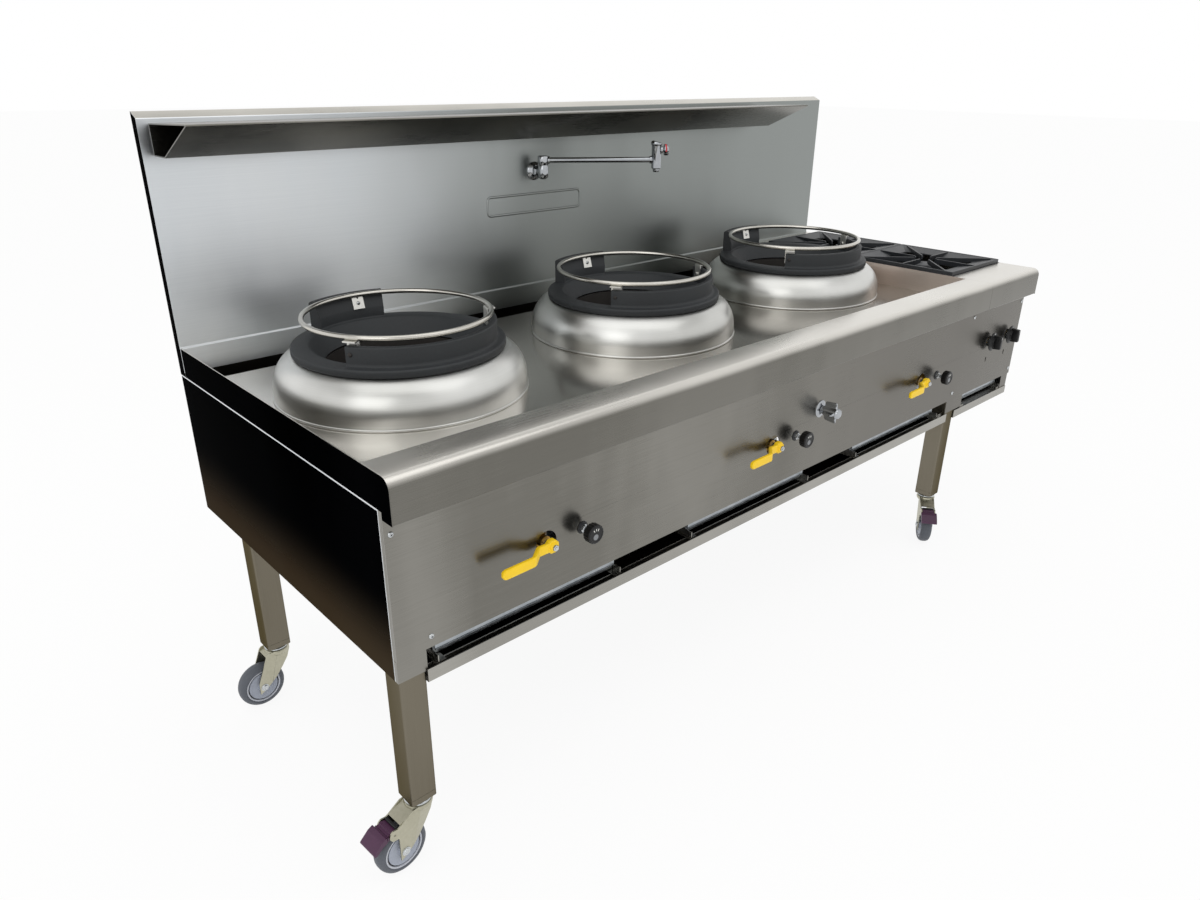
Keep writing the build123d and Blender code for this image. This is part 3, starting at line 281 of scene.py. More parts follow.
def makePiece(name, lumps, looks, rides, replaced=(), bevel=0, bevelSteps=2, crease=35):
    # joins lumps into one mesh at its place in the frame, closes seams and points faces outwards
    points = np.concatenate([lump["points"] for lump in lumps]) / 1000 + bodyCorner
    starts = np.cumsum([0] + [len(lump["points"]) for lump in lumps])
    faces = [[int(start + n) for n in face] for lump,
             start in zip(lumps, starts) for face in lump["faces"]]
    mesh = bpy.data.meshes.new(name)
    mesh.from_pydata(points.tolist(), [], faces)
    uvLayer = mesh.uv_layers.new(name="along")
    uvLayer.data.foreach_set("uv", np.concatenate([lump["uv"] for lump in lumps]).astype(np.float32).ravel())
    for look in looks:
        mesh.materials.append(finishes[look])
    used = [np.broadcast_to(lump["finish"], len(lump["faces"])) for lump in lumps]
    mesh.polygons.foreach_set("material_index", np.concatenate(used))
    shell = bmesh.new()
    shell.from_mesh(mesh)
    bmesh.ops.remove_doubles(shell, verts=shell.verts, dist=2e-6)
    bmesh.ops.recalc_face_normals(shell, faces=shell.faces)
    shell.to_mesh(mesh)
    shell.free()
    mesh.polygons.foreach_set("use_smooth", np.ones(len(mesh.polygons), bool))
    mesh.set_sharp_from_angle(angle=np.radians(crease))
    piece = bpy.data.objects.new(name, mesh)
    bpy.context.scene.collection.objects.link(piece)
    if bevel:
        edge = piece.modifiers.new("edges", "BEVEL")
        edge.width = bevel / 1000
        edge.segments = bevelSteps
        edge.limit_method = "ANGLE"
        edge.angle_limit = np.radians(crease)
        edge.harden_normals = True
    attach(piece, rides)
    if replaced:
        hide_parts(*replaced)
    return piece


def linear(hexColour):
    # an sRGB hex colour as linear light
    parts = [int(hexColour[n:n + 2], 16) / 255 for n in (1, 3, 5)]
    return (*[c / 12.92 if c <= 0.04045 else ((c + 0.055) / 1.055) ** 2.4 for c in parts], 1)


def addNode(tree, kind, settings=None):
    # a node with its properties set, and each input given a value or joined to an earlier socket
    node = tree.nodes.new(kind)
    for name, value in (settings or {}).items():
        if isinstance(value, bpy.types.NodeSocket):
            tree.links.new(value, node.inputs[name])
        elif isinstance(name, str) and hasattr(node, name):
            setattr(node, name, value)
        else:
            node.inputs[name].default_value = value
    return node


def noise(tree, where, scale, detail, roughness=0.5):
    settings = {"Scale": scale, "Detail": detail, "Roughness": roughness, "Vector": where}
    return addNode(tree, "ShaderNodeTexNoise", settings).outputs[0]


def stretched(tree, where, scale):
    return addNode(tree, "ShaderNodeMapping", {"Scale": scale, "Vector": where}).outputs[0]


def reckoned(tree, operation, *terms, clamp=False):
    # a calculation on sockets and numbers
    settings = {"operation": operation, "use_clamp": clamp, **dict(enumerate(terms))}
    return addNode(tree, "ShaderNodeMath", settings).outputs[0]


def ranged(tree, value, fromLow, fromHigh, low, high, curve="LINEAR"):
    # a value's range carried over to another range, and held inside it
    settings = {"interpolation_type": curve, 0: value, 1: fromLow, 2: fromHigh, 3: low, 4: high}
    return addNode(tree, "ShaderNodeMapRange", settings).outputs[0]


def blended(tree, share, first, second):
    # a colour between two, each of them a socket or a linear colour
    return addNode(tree, "ShaderNodeMix", {"data_type": "RGBA", 0: share, 6: first,
                                           7: second}).outputs[2]


def bumped(tree, height, strength, distance, normal=None):
    settings = {"Strength": strength, "Distance": distance, "Height": height}
    if normal is not None:
        settings["Normal"] = normal
    return addNode(tree, "ShaderNodeBump", settings).outputs[0]


def newFinish(name, colour, metallic, roughness, settings=None):
    finish = bpy.data.materials.new(name)
    finish.use_nodes = True
    shader = finish.node_tree.nodes["Principled BSDF"]
    values = {"Base Color": linear(colour), "Metallic": metallic, "Roughness": roughness,
              **(settings or {})}
    for socket, value in values.items():
        shader.inputs[socket].default_value = value
    return finish, finish.node_tree, shader


def paintedLightRamped(tree, colour, cloud, where, paintedLightRamp):
    # painted light: the tone goes over to another one between two places along an axis, with a cloudy edge,
    # standing in for reflections and highlights across a sheet
    axis, near, far, tone = paintedLightRamp
    along = addNode(tree, "ShaderNodeSeparateXYZ", {0: where}).outputs[axis]
    uneven = abs(far - near) * 0.35
    cloudy = reckoned(tree, "MULTIPLY_ADD", cloud, uneven, along)
    share = ranged(tree, cloudy, near + uneven / 2, far + uneven / 2, 0, 1, "SMOOTHSTEP")
    return blended(tree, share, colour, linear(tone))


def brushedSteel(name, light, dark, roughness, lines, tangent=None, sway=0.0006, stretch=0.55,
                 paintedLightRamp=None, glance="#ffffff"):
    # grade 304 sheet ground with a 180-grit belt: fine parallel scratches smear reflections across them.
    # real scratches are under 0.1 mm apart; these are about 1 mm apart so that they show.
    # paintedLightRamp paints reflections and highlights into the colour: an axis, two places along it in
    # metres, and the tone that the sheet has at the far one
    finish, tree, shader = newFinish(name, light, 1, roughness, {"Specular Tint": linear(glance)})
    place = addNode(tree, "ShaderNodeTexCoord").outputs
    scratch = noise(tree, stretched(tree, place["UV" if tangent == "UV" else "Object"], lines), 1, 4,
                    0.65)
    # cloudy upright bands of lighter and darker tone: partly the sheet's own uneven tone, partly painted
    # sheen
    cloud = noise(tree, stretched(tree, place["Object"], (1, 1, 0.3)), 4, 3)
    toneAndPaintedSheen = ranged(tree, cloud, 0.38, 0.62, -0.45, 0.45)
    share = reckoned(tree, "ADD", scratch, toneAndPaintedSheen, clamp=True)
    colour = blended(tree, share, linear(dark), linear(light))
    if paintedLightRamp:
        colour = paintedLightRamped(tree, colour, cloud, place["Object"], paintedLightRamp)
    both = reckoned(tree, "MULTIPLY_ADD", scratch, 0.4, cloud)
    wave = bumped(tree, noise(tree, place["Object"], 2.2, 1), 1, sway)
    made = {
        "Base Color": colour,
        "Roughness": ranged(tree, both, 0.45, 0.95, roughness - 0.05, roughness + 0.08),
        "Normal": bumped(tree, scratch, 0.3, 0.00002, wave),
    }
    if tangent:
        shader.inputs["Anisotropic"].default_value = stretch
        shader.inputs["Anisotropic Rotation"].default_value = 0.25
        way = {"direction_type": "RADIAL", "axis": tangent}
        if tangent == "UV":
            way = {"direction_type": "UV_MAP"}
        made["Tangent"] = addNode(tree, "ShaderNodeTangent", way).outputs[0]
    for socket, value in made.items():
        tree.links.new(value, shader.inputs[socket])
    return finish


def gritFinish(name, light, dark, metallic, roughness, grit, relief, settings=None, spots=6):
    # a surface with grains of a real size in mm and a relief in mm, over slow blotches
    finish, tree, shader = newFinish(name, light, metallic, roughness, settings)
    place = addNode(tree, "ShaderNodeTexCoord").outputs["Object"]
    grains = noise(tree, place, 1000 / grit / 2, 3, 0.6)
    both = reckoned(tree, "MULTIPLY_ADD", grains, 0.5, noise(tree, place, spots, 4, 0.55))
    made = {
        "Base Color": blended(tree, ranged(tree, both, 0.5, 1, 0, 1), linear(dark), linear(light)),
        "Roughness": ranged(tree, both, 0.5, 1, roughness - 0.06, roughness + 0.08),
        "Normal": bumped(tree, grains, 0.8, relief / 1000),
    }
    for socket, value in made.items():
        tree.links.new(value, shader.inputs[socket])
    return finish


finishes = {
    # painted reflection: the panel steel darkens towards the right
    "panelSheet": brushedSteel("brushedSteelPanel", "#8a8882", "#72706a", 0.26, (9, 9, 900), "Z",
                               paintedLightRamp=(0, -0.6, 0.9, "#67645e")),
    # painted reflection: the deck steel darkens towards the right
    "deckSheet": brushedSteel("brushedSteelDeck", "#efece6", "#d6d2cc", 0.15, (7, 900, 1), "UV", 0.0004,
                              0.3, paintedLightRamp=(0, -0.75, 0.1, "#a8a39b")),
    # painted reflected light: a lighter, warmer copy of the worktop steel for the deck's right end wall
    "paintedLightWall": brushedSteel("brushedSteelDeckWallPaintedLight", "#e8dad1", "#d8cac1", 0.3, (9, 9, 700)),
    # painted shade: a near-black copy of the steel, with a dim glancing tint, for the rear gutter and the
    # ledges under the trays
    "paintedShadeSteel": brushedSteel("brushedSteelPaintedShade", "#35322e", "#292622", 0.34, (9, 700, 700),
                                glance="#6e6a62"),
    # painted reflection: the splashback steel, also on the outer panels' sheets, darkens towards the right
    "splashSheet": brushedSteel("brushedSteelSplashback", "#e2e5e7", "#d3d7da", 0.33, (6, 6, 800), "Z",
                                paintedLightRamp=(0, -0.85, -0.05, "#8e9290")),
    "tubeSteel": brushedSteel("brushedSteelTube", "#7b7568", "#6d675a", 0.36, (700, 700, 9),
                              glance="#8f8a7e"),
    # painted highlight: the worktop steel turns light over its top 15 mm, along the nosing's bend and rim
    "worktopSheet": brushedSteel("brushedSteelWorktop", "#797771", "#6c6a64", 0.27, (9, 700, 700),
                                 paintedLightRamp=(2, 0.735, 0.7495, "#dedbd4")),
    "railSheet": brushedSteel("brushedSteelRail", "#a3a19b", "#93918b", 0.27, (9, 700, 700)),
    "shelfSheet": brushedSteel("brushedSteelShelf", "#817f79", "#6c6a64", 0.27, (9, 700, 700)),
    # painted highlight: a lighter copy of the splashback steel for its top face
    "paintedHighlightTop": brushedSteel("brushedSteelPaintedHighlightTop", "#dedbd3", "#cfccc4", 0.3, (9, 700, 700)),
    "whitePlate": gritFinish("brightNickelPlate", "#e8e7e2", "#d8d7d2", 1, 0.42, 1.5, 0.01),
    "spunSteel": brushedSteel("spunSteelDome", "#dededb", "#c4c4c0", 0.33, (3, 1100, 1), "UV", 0.0005,
                              0.35),
    # painted reflection: outward sides are near-black, as if mirroring a dark room, turning warm grey
    # towards the bottom where they would mirror the floor
    "paintedDarkReflection": brushedSteel("steelSidePaintedDarkReflection", "#131416", "#0e0f11", 0.38, (6, 6, 600),
                             paintedLightRamp=(2, 0.56, 0.40, "#544c41"), glance="#8f8f8f"),
    # ring castings: sand-cast iron under matt heat-proof paint
    "ringIron": gritFinish("paintedCastIronRing", "#313436", "#232527", 0, 0.58, 1.6, 0.35,
                           {"Specular IOR Level": 0.4}),
    "grateIron": gritFinish("enamelledCastIronGrate", "#2b2e32", "#1c1e21", 0, 0.42, 1.4, 0.25,
                            {"Specular IOR Level": 0.5}),
    "burnerIron": gritFinish("bareCastIronBurner", "#3d3a37", "#2a2624", 0.3, 0.62, 1.2, 0.3),
    "zinc": gritFinish("yellowPassivatedZinc", "#bdbaa8", "#a4a18e", 1, 0.34, 3, 0.02),
    "brightZinc": gritFinish("brightZincPlate", "#cfd2d3", "#b5b8ba", 1, 0.22, 2, 0.01),
    "traySheet": gritFinish("galvanisedTraySheet", "#b9bec2", "#979da2", 1, 0.36, 6, 0.02, None, 40),
    "chrome": gritFinish("chromePlatedBrass", "#b4b7ba", "#9da0a4", 1, 0.09, 5, 0.004),
    "polishedRod": gritFinish("polishedSteelRod", "#d2cfc8", "#bdbab2", 1, 0.2, 1.5, 0.008),
    "brass": gritFinish("brassJet", "#b08d4a", "#8f6f38", 1, 0.35, 1.5, 0.02),
    "galvanised": gritFinish("galvanisedPipe", "#9aa0a3", "#7f8588", 1, 0.45, 5, 0.03, None, 30),
    "yellowGrip": gritFinish("yellowVinylDip", "#ffd70c", "#f9cb08", 0, 0.38, 2.5, 0.03),
    "blackKnob": gritFinish("blackPhenolicMoulding", "#0b0b0c", "#070708", 0, 0.3, 1.2, 0.015,
                            {"Specular IOR Level": 0.35}),
    "paleMark": gritFinish("palePrintedMark", "#dcdcd8", "#cbcbc6", 0, 0.5, 1, 0.01),
    "redInsert": gritFinish("redPolycarbonateInsert", "#c4323a", "#b02a32", 0, 0.3, 1, 0.01),
    "greyMark": gritFinish("greyPrintedMark", "#8d9093", "#77797c", 0, 0.5, 1, 0.01),
    "tyreRubber": gritFinish("greyThermoplasticRubber", "#5c6068", "#4e5259", 0, 0.55, 1.2, 0.03),
    "hubPlastic": gritFinish("blueGreyPolypropylene", "#a7adba", "#9aa0ad", 0, 0.4, 1, 0.015),
    "hubPale": gritFinish("palePolypropyleneRing", "#c7cad2", "#b9bcc5", 0, 0.4, 1, 0.015),
    # black plastic parts; on screw heads its bars are painted shade standing in for the shaded cross recess
    "blackPartsAndRecessShade": gritFinish("blackPolypropyleneAndRecessShade", "#1b1c1f", "#141517", 0, 0.5, 1, 0.02),
    "purplePedal": gritFinish("purpleNylonPedal", "#4d2546", "#3d1b38", 0, 0.42, 1.4, 0.03),
}
print("finishes made:", len(finishes))

cadFinishes = {
    "legs": "tubeSteel",
    "upper_frame": "tubeSteel",
    "lower_frame": "railSheet",
    "front_rail": "railSheet",
    "corner_plates": "panelSheet",
    "outer_panels": "paintedDarkReflection",
    "control_panel": "panelSheet",
    "deck_nosing": "worktopSheet",
    "wok_deck": "worktopSheet",
    "deck_gutter": "worktopSheet",
    "hob_top": "worktopSheet",
    "splashback": "splashSheet",
    "splashback_shelf": "worktopSheet",
    "rest_rings": "polishedRod",
    "fire_pots": "burnerIron",
    "wok_burners": "burnerIron",
    "gas_manifold": "galvanised",
    "gas_pipes": "galvanised",
    "gas_valves": "brass",
    "water_pipes": "galvanised",
    "water_fittings": "chrome",
    "tap_handle": "chrome",
    "faucet_arm": "chrome",
    "faucet_handle": "chrome",
    "hob_burners": "grateIron",
    "trivets": "grateIron",
    "panel_screws": "brightZinc",
    "dome": "spunSteel",
    "wok_ring": "ringIron",
    "valve_lever": "yellowGrip",
    "pilot_stem": "brightZinc",
    "pilot_knob": "blackKnob",
    "drip_tray": "traySheet",
    "hob_drip_tray": "traySheet",
    "hob_stem": "brightZinc",
    "hob_knob": "blackKnob",
    "caster": "zinc",
    "brake_pedal": "purplePedal",
}
for nodeName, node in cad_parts.items():
    fitting = max((key for key in cadFinishes if nodeName.startswith(key)), key=len)
    node.data.materials.clear()
    node.data.materials.append(finishes[cadFinishes[fitting]])
print("CAD nodes finished:", len(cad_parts))


# The wok deck is three folded sheets.
wokDeck = {
    "left": 2,
    "right": 1809.8,
    "rimDepth": 80,
    "nosingHeight": 72,
    "nosingRadius": 18,
    "flangeFoot": 691,
    "holeRadius": 150,
    "gutter": (755, 799, 633),  # front, back and floor
    "gutterWall": 706,
    "drain": (120, 777, 25, 20, 70),  # x, y, outer and inner radius, length
}


def nosingPath():
    low = body["rimHeight"] - wokDeck["nosingHeight"]
    return [(26, low), (0, low), (0, body["rimHeight"])]


def flangeOutline():
    # the flat end of a worktop: the nosing's curve at the front, level along the body behind it
    low, top = body["rimHeight"] - wokDeck["nosingHeight"], body["rimHeight"]
    back, foot = body["worktopBack"], wokDeck["flangeFoot"]
    outline = [(0, low), (0, top), (back, top), (back, foot), (27.7, foot), (27.7, low)]
    return softened(outline, [0, wokDeck["nosingRadius"], 0, 0, 0, 0])


def buildWokDeck():
    # front: an outline pushed along x; deck: a flat rectangle with round holes; gutter: a trough outline
    left, right, top, deck = wokDeck["left"], wokDeck["right"], body["rimHeight"], body["deckHeight"]
    rim, lap = wokDeck["rimDepth"], 10
    path = nosingPath() + [(rim, top), (rim, deck), (rim + lap, deck)]
    front = pushed(folded(path, [0, 3, wokDeck["nosingRadius"], 3, 6, 0], sheet), left, right)
    makePiece("frontNosing", [front], ["worktopSheet"], "range", ["deck_nosing"],
              bevel=0.3, bevelSteps=1)
    gutterFront, gutterBack, floor = wokDeck["gutter"]
    seam = gutterFront - 7
    holes = [circle(x, y, wokDeck["holeRadius"], 96) for x, y in wokCentres]
    flange = flangeOutline()
    lumps = [plate(cornered(left, right - sheet, rim + lap, seam), holes, deck - sheet, deck),
             plate(flange, [], darkReflectionSkin, sheet, "x", 1),
             # the left flange's outer layer carries the painted dark reflection
             plate(flange, [], 0, darkReflectionSkin, "x", 2),
             # the deck's right end wall takes the lighter copy of the steel, painted reflected light
             plate(cornered(rim, body["worktopBack"], deck, top), [], right - sheet, right, "x", 3)]
    makePiece("deckPan", lumps, ("deckSheet", "worktopSheet", "paintedDarkReflection", "paintedLightWall"), "range",
              ["wok_deck"])
    path = [(seam, deck), (gutterFront, deck), (gutterFront, floor), (gutterBack, floor),
            (gutterBack, wokDeck["gutterWall"])]
    lumps = [pushed(folded(path, [0, 4, 2, 2, 0], sheet), left, right)]
    end = cornered(gutterFront - sheet, gutterBack + sheet, floor - sheet, deck - sheet)
    lumps += [plate(end, [], x, x + sheet, "x") for x in (left, right - sheet)]
    x, y, outer, inner, length = wokDeck["drain"]
    spigot = [(inner, 0), (outer, 0), (outer, length), (inner, length)]
    lumps.append(turned(spigot, (x, y, floor - sheet - length)))
    # the gutter's steel is painted dark as the shade inside it
    makePiece("rearGutter", lumps, ["paintedShadeSteel"], "range", ["deck_gutter"])


buildWokDeck()
print("wok deck made")


# The hob's top is one folded sheet with a sunk pan.
hobTop = {
    "left": 1810.2,
    "right": 2100,
    "rimDepth": 118,
    "panHeight": 710,
    "panBack": 748,
    "burners": [(1953, 275), (1953, 590)],
    "burnerHole": 45,
}


def buildHobTop():
    # two folded outlines pushed along x, with a flat pan between them
    left, right = hobTop["left"], hobTop["right"]
    rim, pan, back = hobTop["rimDepth"], hobTop["panHeight"], hobTop["panBack"]
    top, end, lap = body["rimHeight"], right - sheet, 8
    path = nosingPath() + [(rim, top), (rim, pan), (rim + lap, pan)]
    front = folded(path, [0, 3, wokDeck["nosingRadius"], 3, 4, 0], sheet)
    rear = folded([(back - lap, pan), (back, pan), (back, top), (body["worktopBack"], top)],
                  [0, 4, 3, 0], sheet)
    holes = [circle(x, y, hobTop["burnerHole"]) for x, y in hobTop["burners"]]
    flange = flangeOutline()
    lumps = [pushed(front, left, end),
             pushed(rear, left, end),
             plate(cornered(left, end, rim + lap, back - lap), holes, pan - sheet, pan),
             plate(cornered(rim, back, pan - sheet, top), [], left, left + sheet, "x"),
             # the right flange's outer layer carries the painted dark reflection
             plate(flange, [], end, right - darkReflectionSkin, "x"),
             plate(flange, [], right - darkReflectionSkin, right, "x", 1)]
    makePiece("hobTop", lumps, ["worktopSheet", "paintedDarkReflection"], "range", ["hob_top"],
              bevel=0.3, bevelSteps=1)


buildHobTop()
print("hob top made")


# The splashback and the duct under its top.
splash = {
    "foot": (797, 700),
    "face": 800,
    "top": 1187,
    "shoulder": 1175,
    "bend": (749, 752),  # where the foot's slope starts and ends
    "hem": 24,
    "badge": (751, 928, 301, 50, 10),  # x, z, width, height and corner of the blank raised frame
    "bead": (6, 2),  # width and rise
    "shelf": [(800, 1110), (744, 1110), (601, 1173), (800, 1166)],
    "shelfEnds": (20, 1763),
}


def buildSplashback():
    # an outline pushed along x, with a half-round bead run round a rounded rectangle on its face
    width, depth = body["width"], body["depth"]
    footY, footZ = splash["foot"]
    front, top, shoulder = splash["face"], splash["top"], splash["shoulder"]
    bendLow, bendTop = splash["bend"]
    hem = top - splash["hem"]
    path = [(footY, footZ), (footY, bendLow), (front, bendTop), (front, shoulder), (depth, top),
            (depth, hem)]
    back = pushed(folded(path, [0, 1.2, 1.2, 3, 2, 0], sheet), 0, width)
    # painted highlight: the faces of the top behind the shoulder take the lighter copy of the steel
    middles = np.array([back["points"][face].mean(0) for face in back["faces"]])
    back["finish"] = np.where((middles[:, 1] > front + 1) & (middles[:, 2] > shoulder), 2, 0)
    lumps = [back]
    low = wokDeck["flangeFoot"]
    # each side's outer layer carries the painted dark reflection
    side = [(front + 1, low), (front + 1, shoulder), (depth, top - 1), (depth, low)]
    for inner, outer in ((darkReflectionSkin, 0), (width - sheet, width - darkReflectionSkin)):
        lumps.append(plate(side, [], inner, inner + sheet - darkReflectionSkin, "x"))
        lumps.append(plate(side, [], outer, outer + darkReflectionSkin, "x", 1))
    lumps.append(bar(0, sheet, depth - sheet, depth, hem - 4, hem))
    x, z, wide, high, corner = splash["badge"]
    broad, rise = splash["bead"]
    half = broad / 2
    middle = cornered(x + half, x + wide - half, z + half, z + high - half, corner, 8)
    section = [(half * np.cos(a), rise * np.sin(a)) for a in np.linspace(0, np.pi, 7)]
    section += [(-half, -0.5), (half, -0.5)]
    lumps.append(swept(atHeight(middle, front, "y"), section, up=(0, -1, 0), closed=True))
    makePiece("splashback", lumps, ("splashSheet", "paintedDarkReflection", "paintedHighlightTop"), "range", ["splashback"])


def buildShelf():
    # a four-sided tube: its outline and the same outline set in by the sheet's thickness
    corners = splash["shelf"]
    outer = softened(corners, [0.5, 3, 2, 0.5], 4)
    inner = softened(setIn(corners, sheet), [0.5, 1.5, 0.8, 0.5], 4)
    tube = plate(outer, [inner[::-1]], *splash["shelfEnds"], "x")
    makePiece("splashbackShelf", [tube], ["shelfSheet"], "range", ["splashback_shelf"])


buildSplashback()
buildShelf()
print("splashback and shelf made")


# The outer panels, with the controls' holes in the front one.
panels = {
    "sideBottom": 390,
    "rightBottom": 369,
    "frontBottom": 431,
    "backTop": 1162.7,
    "backGap": 2.3,  # from the back panel's ends to the sides
    "sideEdges": (10.3, 13, 3.2),  # the sheet's and the painted dark reflection's start behind the front, and how far the dark stops below the top
    "leverHole": 22,
    "pilotHole": 12,
    "hobKnobs": [(1916, 566), (2029, 566)],
    "hobHole": 15,
    "tap": (1089, 570, 12),
    "keyhole": (6, 15, 62),  # width, height, drop below the knob
    "screws": [(11, 651), (63, 451), (1796, 655), (1740, 451), (2090, 652), (2090, 448)],
}


def buildControlPanel():
    # a flat plate with round holes for the controls and two keyholes
    width, front, low, top = body["width"], body["panelFace"], panels["frontBottom"], body["panelTop"]
    holes = [circle(x, controlHeight, panels["leverHole"]) for x in leverPlaces]
    holes += [circle(x + pilotOffset, controlHeight, panels["pilotHole"]) for x in leverPlaces]
    holes += [circle(x, z, panels["hobHole"]) for x, z in panels["hobKnobs"]]
    holes.append(circle(*panels["tap"]))
    wide, high, drop = panels["keyhole"]
    for x, z in panels["hobKnobs"]:
        foot = z - drop
        head = arc(x, foot + high - wide / 2, wide / 2, 0, 180)
        holes.append(np.array(head + arc(x, foot + 2.5, 2, 180, 360)))
    lumps = [plate(cornered(0, width, low, top), holes, front, front + sheet, "y")]
    lumps += [plate(cornered(front + sheet, front + 10, low, top), [], x, x + sheet, "x")
              for x in (0, width - sheet)]
    makePiece("controlPanel", lumps, ["panelSheet"], "range", ["control_panel"],
              bevel=0.5)


def buildOuterPanels():
    # each side is a plate with a layer of painted dark reflection that stops short of its front and top
    # edges
    width, front, top, gap = body["width"], body["panelFace"], body["panelTop"], panels["backGap"]
    sheetFront, darkReflectionFront, darkReflectionDrop = panels["sideEdges"]
    back = body["depth"] - gap
    lumps = []
    for low, near, darkReflectionFace in ((panels["sideBottom"], darkReflectionSkin, 0),
                            (panels["rightBottom"], width - sheet, width - darkReflectionSkin)):
        side = cornered(front + sheetFront, back, low, top)
        dark = cornered(front + darkReflectionFront, back, low, top - darkReflectionDrop)
        lumps.append(plate(side, [], near, near + sheet - darkReflectionSkin, "x", 1))
        lumps.append(plate(dark, [], darkReflectionFace, darkReflectionFace + darkReflectionSkin, "x"))
    rear = cornered(gap, width - gap, panels["sideBottom"], panels["backTop"])
    lumps.append(plate(rear, [], body["depth"] - sheet, body["depth"], "y", 1))
    makePiece("outerPanels", lumps, ["paintedDarkReflection", "splashSheet"], "range", ["outer_panels"])


def buildPanelScrews():
    # pan head: a low dome over a straight rim, with a cross of black bars laid on it, painted shade standing
    # in for the cross recess
    head = [(0, 3), (2, 2.9), (3.6, 2.3), (4.6, 1.2), (5, 0.3), (5, 0)]
    notch = [(-0.45, -0.3), (0.45, -0.3), (0.45, 0.05), (-0.45, 0.05)]
    lumps = []
    for x, z in panels["screws"]:
        lumps.append(turned(head, (x, body["panelFace"], z), (0, -1, 0), steps=28))
        for turn in np.radians((20, 110)):
            across = np.array([np.cos(turn), 0, np.sin(turn)])
            ends = [np.array([x, body["panelFace"] - 3.02, z]) + reach * across for reach in (-2.2, 2.2)]
            lumps.append(swept(ends, notch, up=(0, -1, 0), finish=1))
    makePiece("panelScrews", lumps, ["brightZinc", "blackPartsAndRecessShade"], "range", ["panel_screws"])


buildControlPanel()
buildOuterPanels()
buildPanelScrews()
print("panels made")


# The spun domes, the ring castings and their rests.
dome = {
    "radius": 240,
    "wall": 20,
    "crown": (50, 61),
    "ledge": 160,
    "hem": (242.5, 4),
    "top": 774,
}
ring = {
    "radius": 201,
    "thickness": 15,
    "edge": 4,
    "mouth": 166,
    "throat": (142, 21),  # radius and depth below the dome's top
    "skirt": (149, 158.5),
    "collar": (172, 185, 36, -150, -12),  # inner and outer radius, height, start and end angle
    "backWall": (172, 182, 196, 54, 70, 120),  # inner face's foot and top, outer radius, height, angles
    "backFoot": 21,  # where its inner face starts to slope
}


def buildDome(number, centre):
    # a lathe: straight wall, then a quarter of an ellipse up to the flat ledge under the ring
    low = body["deckHeight"]
    radius, wall = dome["radius"], dome["wall"]
    across, up = dome["crown"]
    hem, hemHeight = dome["hem"]
    knee = low + wall
    outer = [(hem - 0.8, low), (hem, low + 0.8), (hem, low + hemHeight - 0.8),
             (hem - 0.8, low + hemHeight), (radius, low + hemHeight + 0.4)]
    outer += arc(radius - across, knee, across, 0, 90, 20, up) + [(dome["ledge"], knee + up)]
    inner = arc(radius - across, knee, across - sheet, 0, 90, 14, up - sheet)[::-1]
    inner = [(dome["ledge"], knee + up - sheet)] + inner + [(radius - sheet, low)]
    lump = turned(outer + inner, (*centre, 0), side=(0, 1, 0), steps=144)
    makePiece(f"dome{number}", [lump], ["spunSteel"], "range", [f"dome_{number}"],
              crease=50)


def buildRing(number, centre):
    # flange, mouth and skirt as one lathe; collar and back wall as arcs with rounded tops and a fillet
    under = dome["top"]
    top = under + ring["thickness"]
    radius, edge, mouth = ring["radius"], ring["edge"], ring["mouth"]
    throat, drop = ring["throat"]
    skirtLow, skirtTop = ring["skirt"]
    profile = arc(radius - edge, under + edge, edge, -90, 0, 4)
    profile += arc(radius - edge, top - edge, edge, 0, 90, 4)
    profile += [(mouth + 2.5, top), (mouth, top - 1), (mouth - 1.5, top - 3)]
    profile += [(throat + 1, under - drop + 3), (throat, under - drop + 1), (throat + 1, under - drop)]
    profile += [(skirtLow, under - drop), (skirtTop, under)]
    lumps = [turned(profile, (*centre, 0), steps=144)]
    inner, outer, height, start, end = ring["collar"]
    wall = [(inner, top - 2), (outer + 5.5, top - 2), (outer + 5.5, top), (outer + 2, top + 1.2),
            (outer + 0.4, top + 3.5), (outer, top + 7)]
    wall += arc(outer - 2.5, top + height - 2.5, 2.5, 0, 90, 3)
    wall += arc(inner + 2, top + height - 2, 2, 90, 180, 3)
    lumps.append(turned(wall, (*centre, 0), start=start, sweep=end - start, steps=72))
    foot, lip, outer, height, start, end = ring["backWall"]
    wall = [(foot - 2, top - 2), (outer, top - 2)] + arc(outer - 5, top + height - 5, 5, 0, 90, 4)
    wall += [(lip + 2, top + height), (lip, top + height - 2), (foot + 0.8, top + ring["backFoot"] + 1)]
    wall += [(foot, top + ring["backFoot"] - 1), (foot, top + 2), (foot - 2, top)]
    lumps.append(turned(wall, (*centre, 0), start=start, sweep=end - start, steps=30))
    makePiece(f"wokRing{number}", lumps, ["ringIron"], "range", [f"wok_ring_{number}"],
              bevel=1.3, bevelSteps=3)


restRing = {
    "radius": 175,
    "wire": 5,
    "height": 839,
    "tabAngles": (-147, -20),
    "tab": (168.8, 171.3, 186, 24, 40),  # inner and outer face, foot end, width, length
    "plateAngle": 87,
}


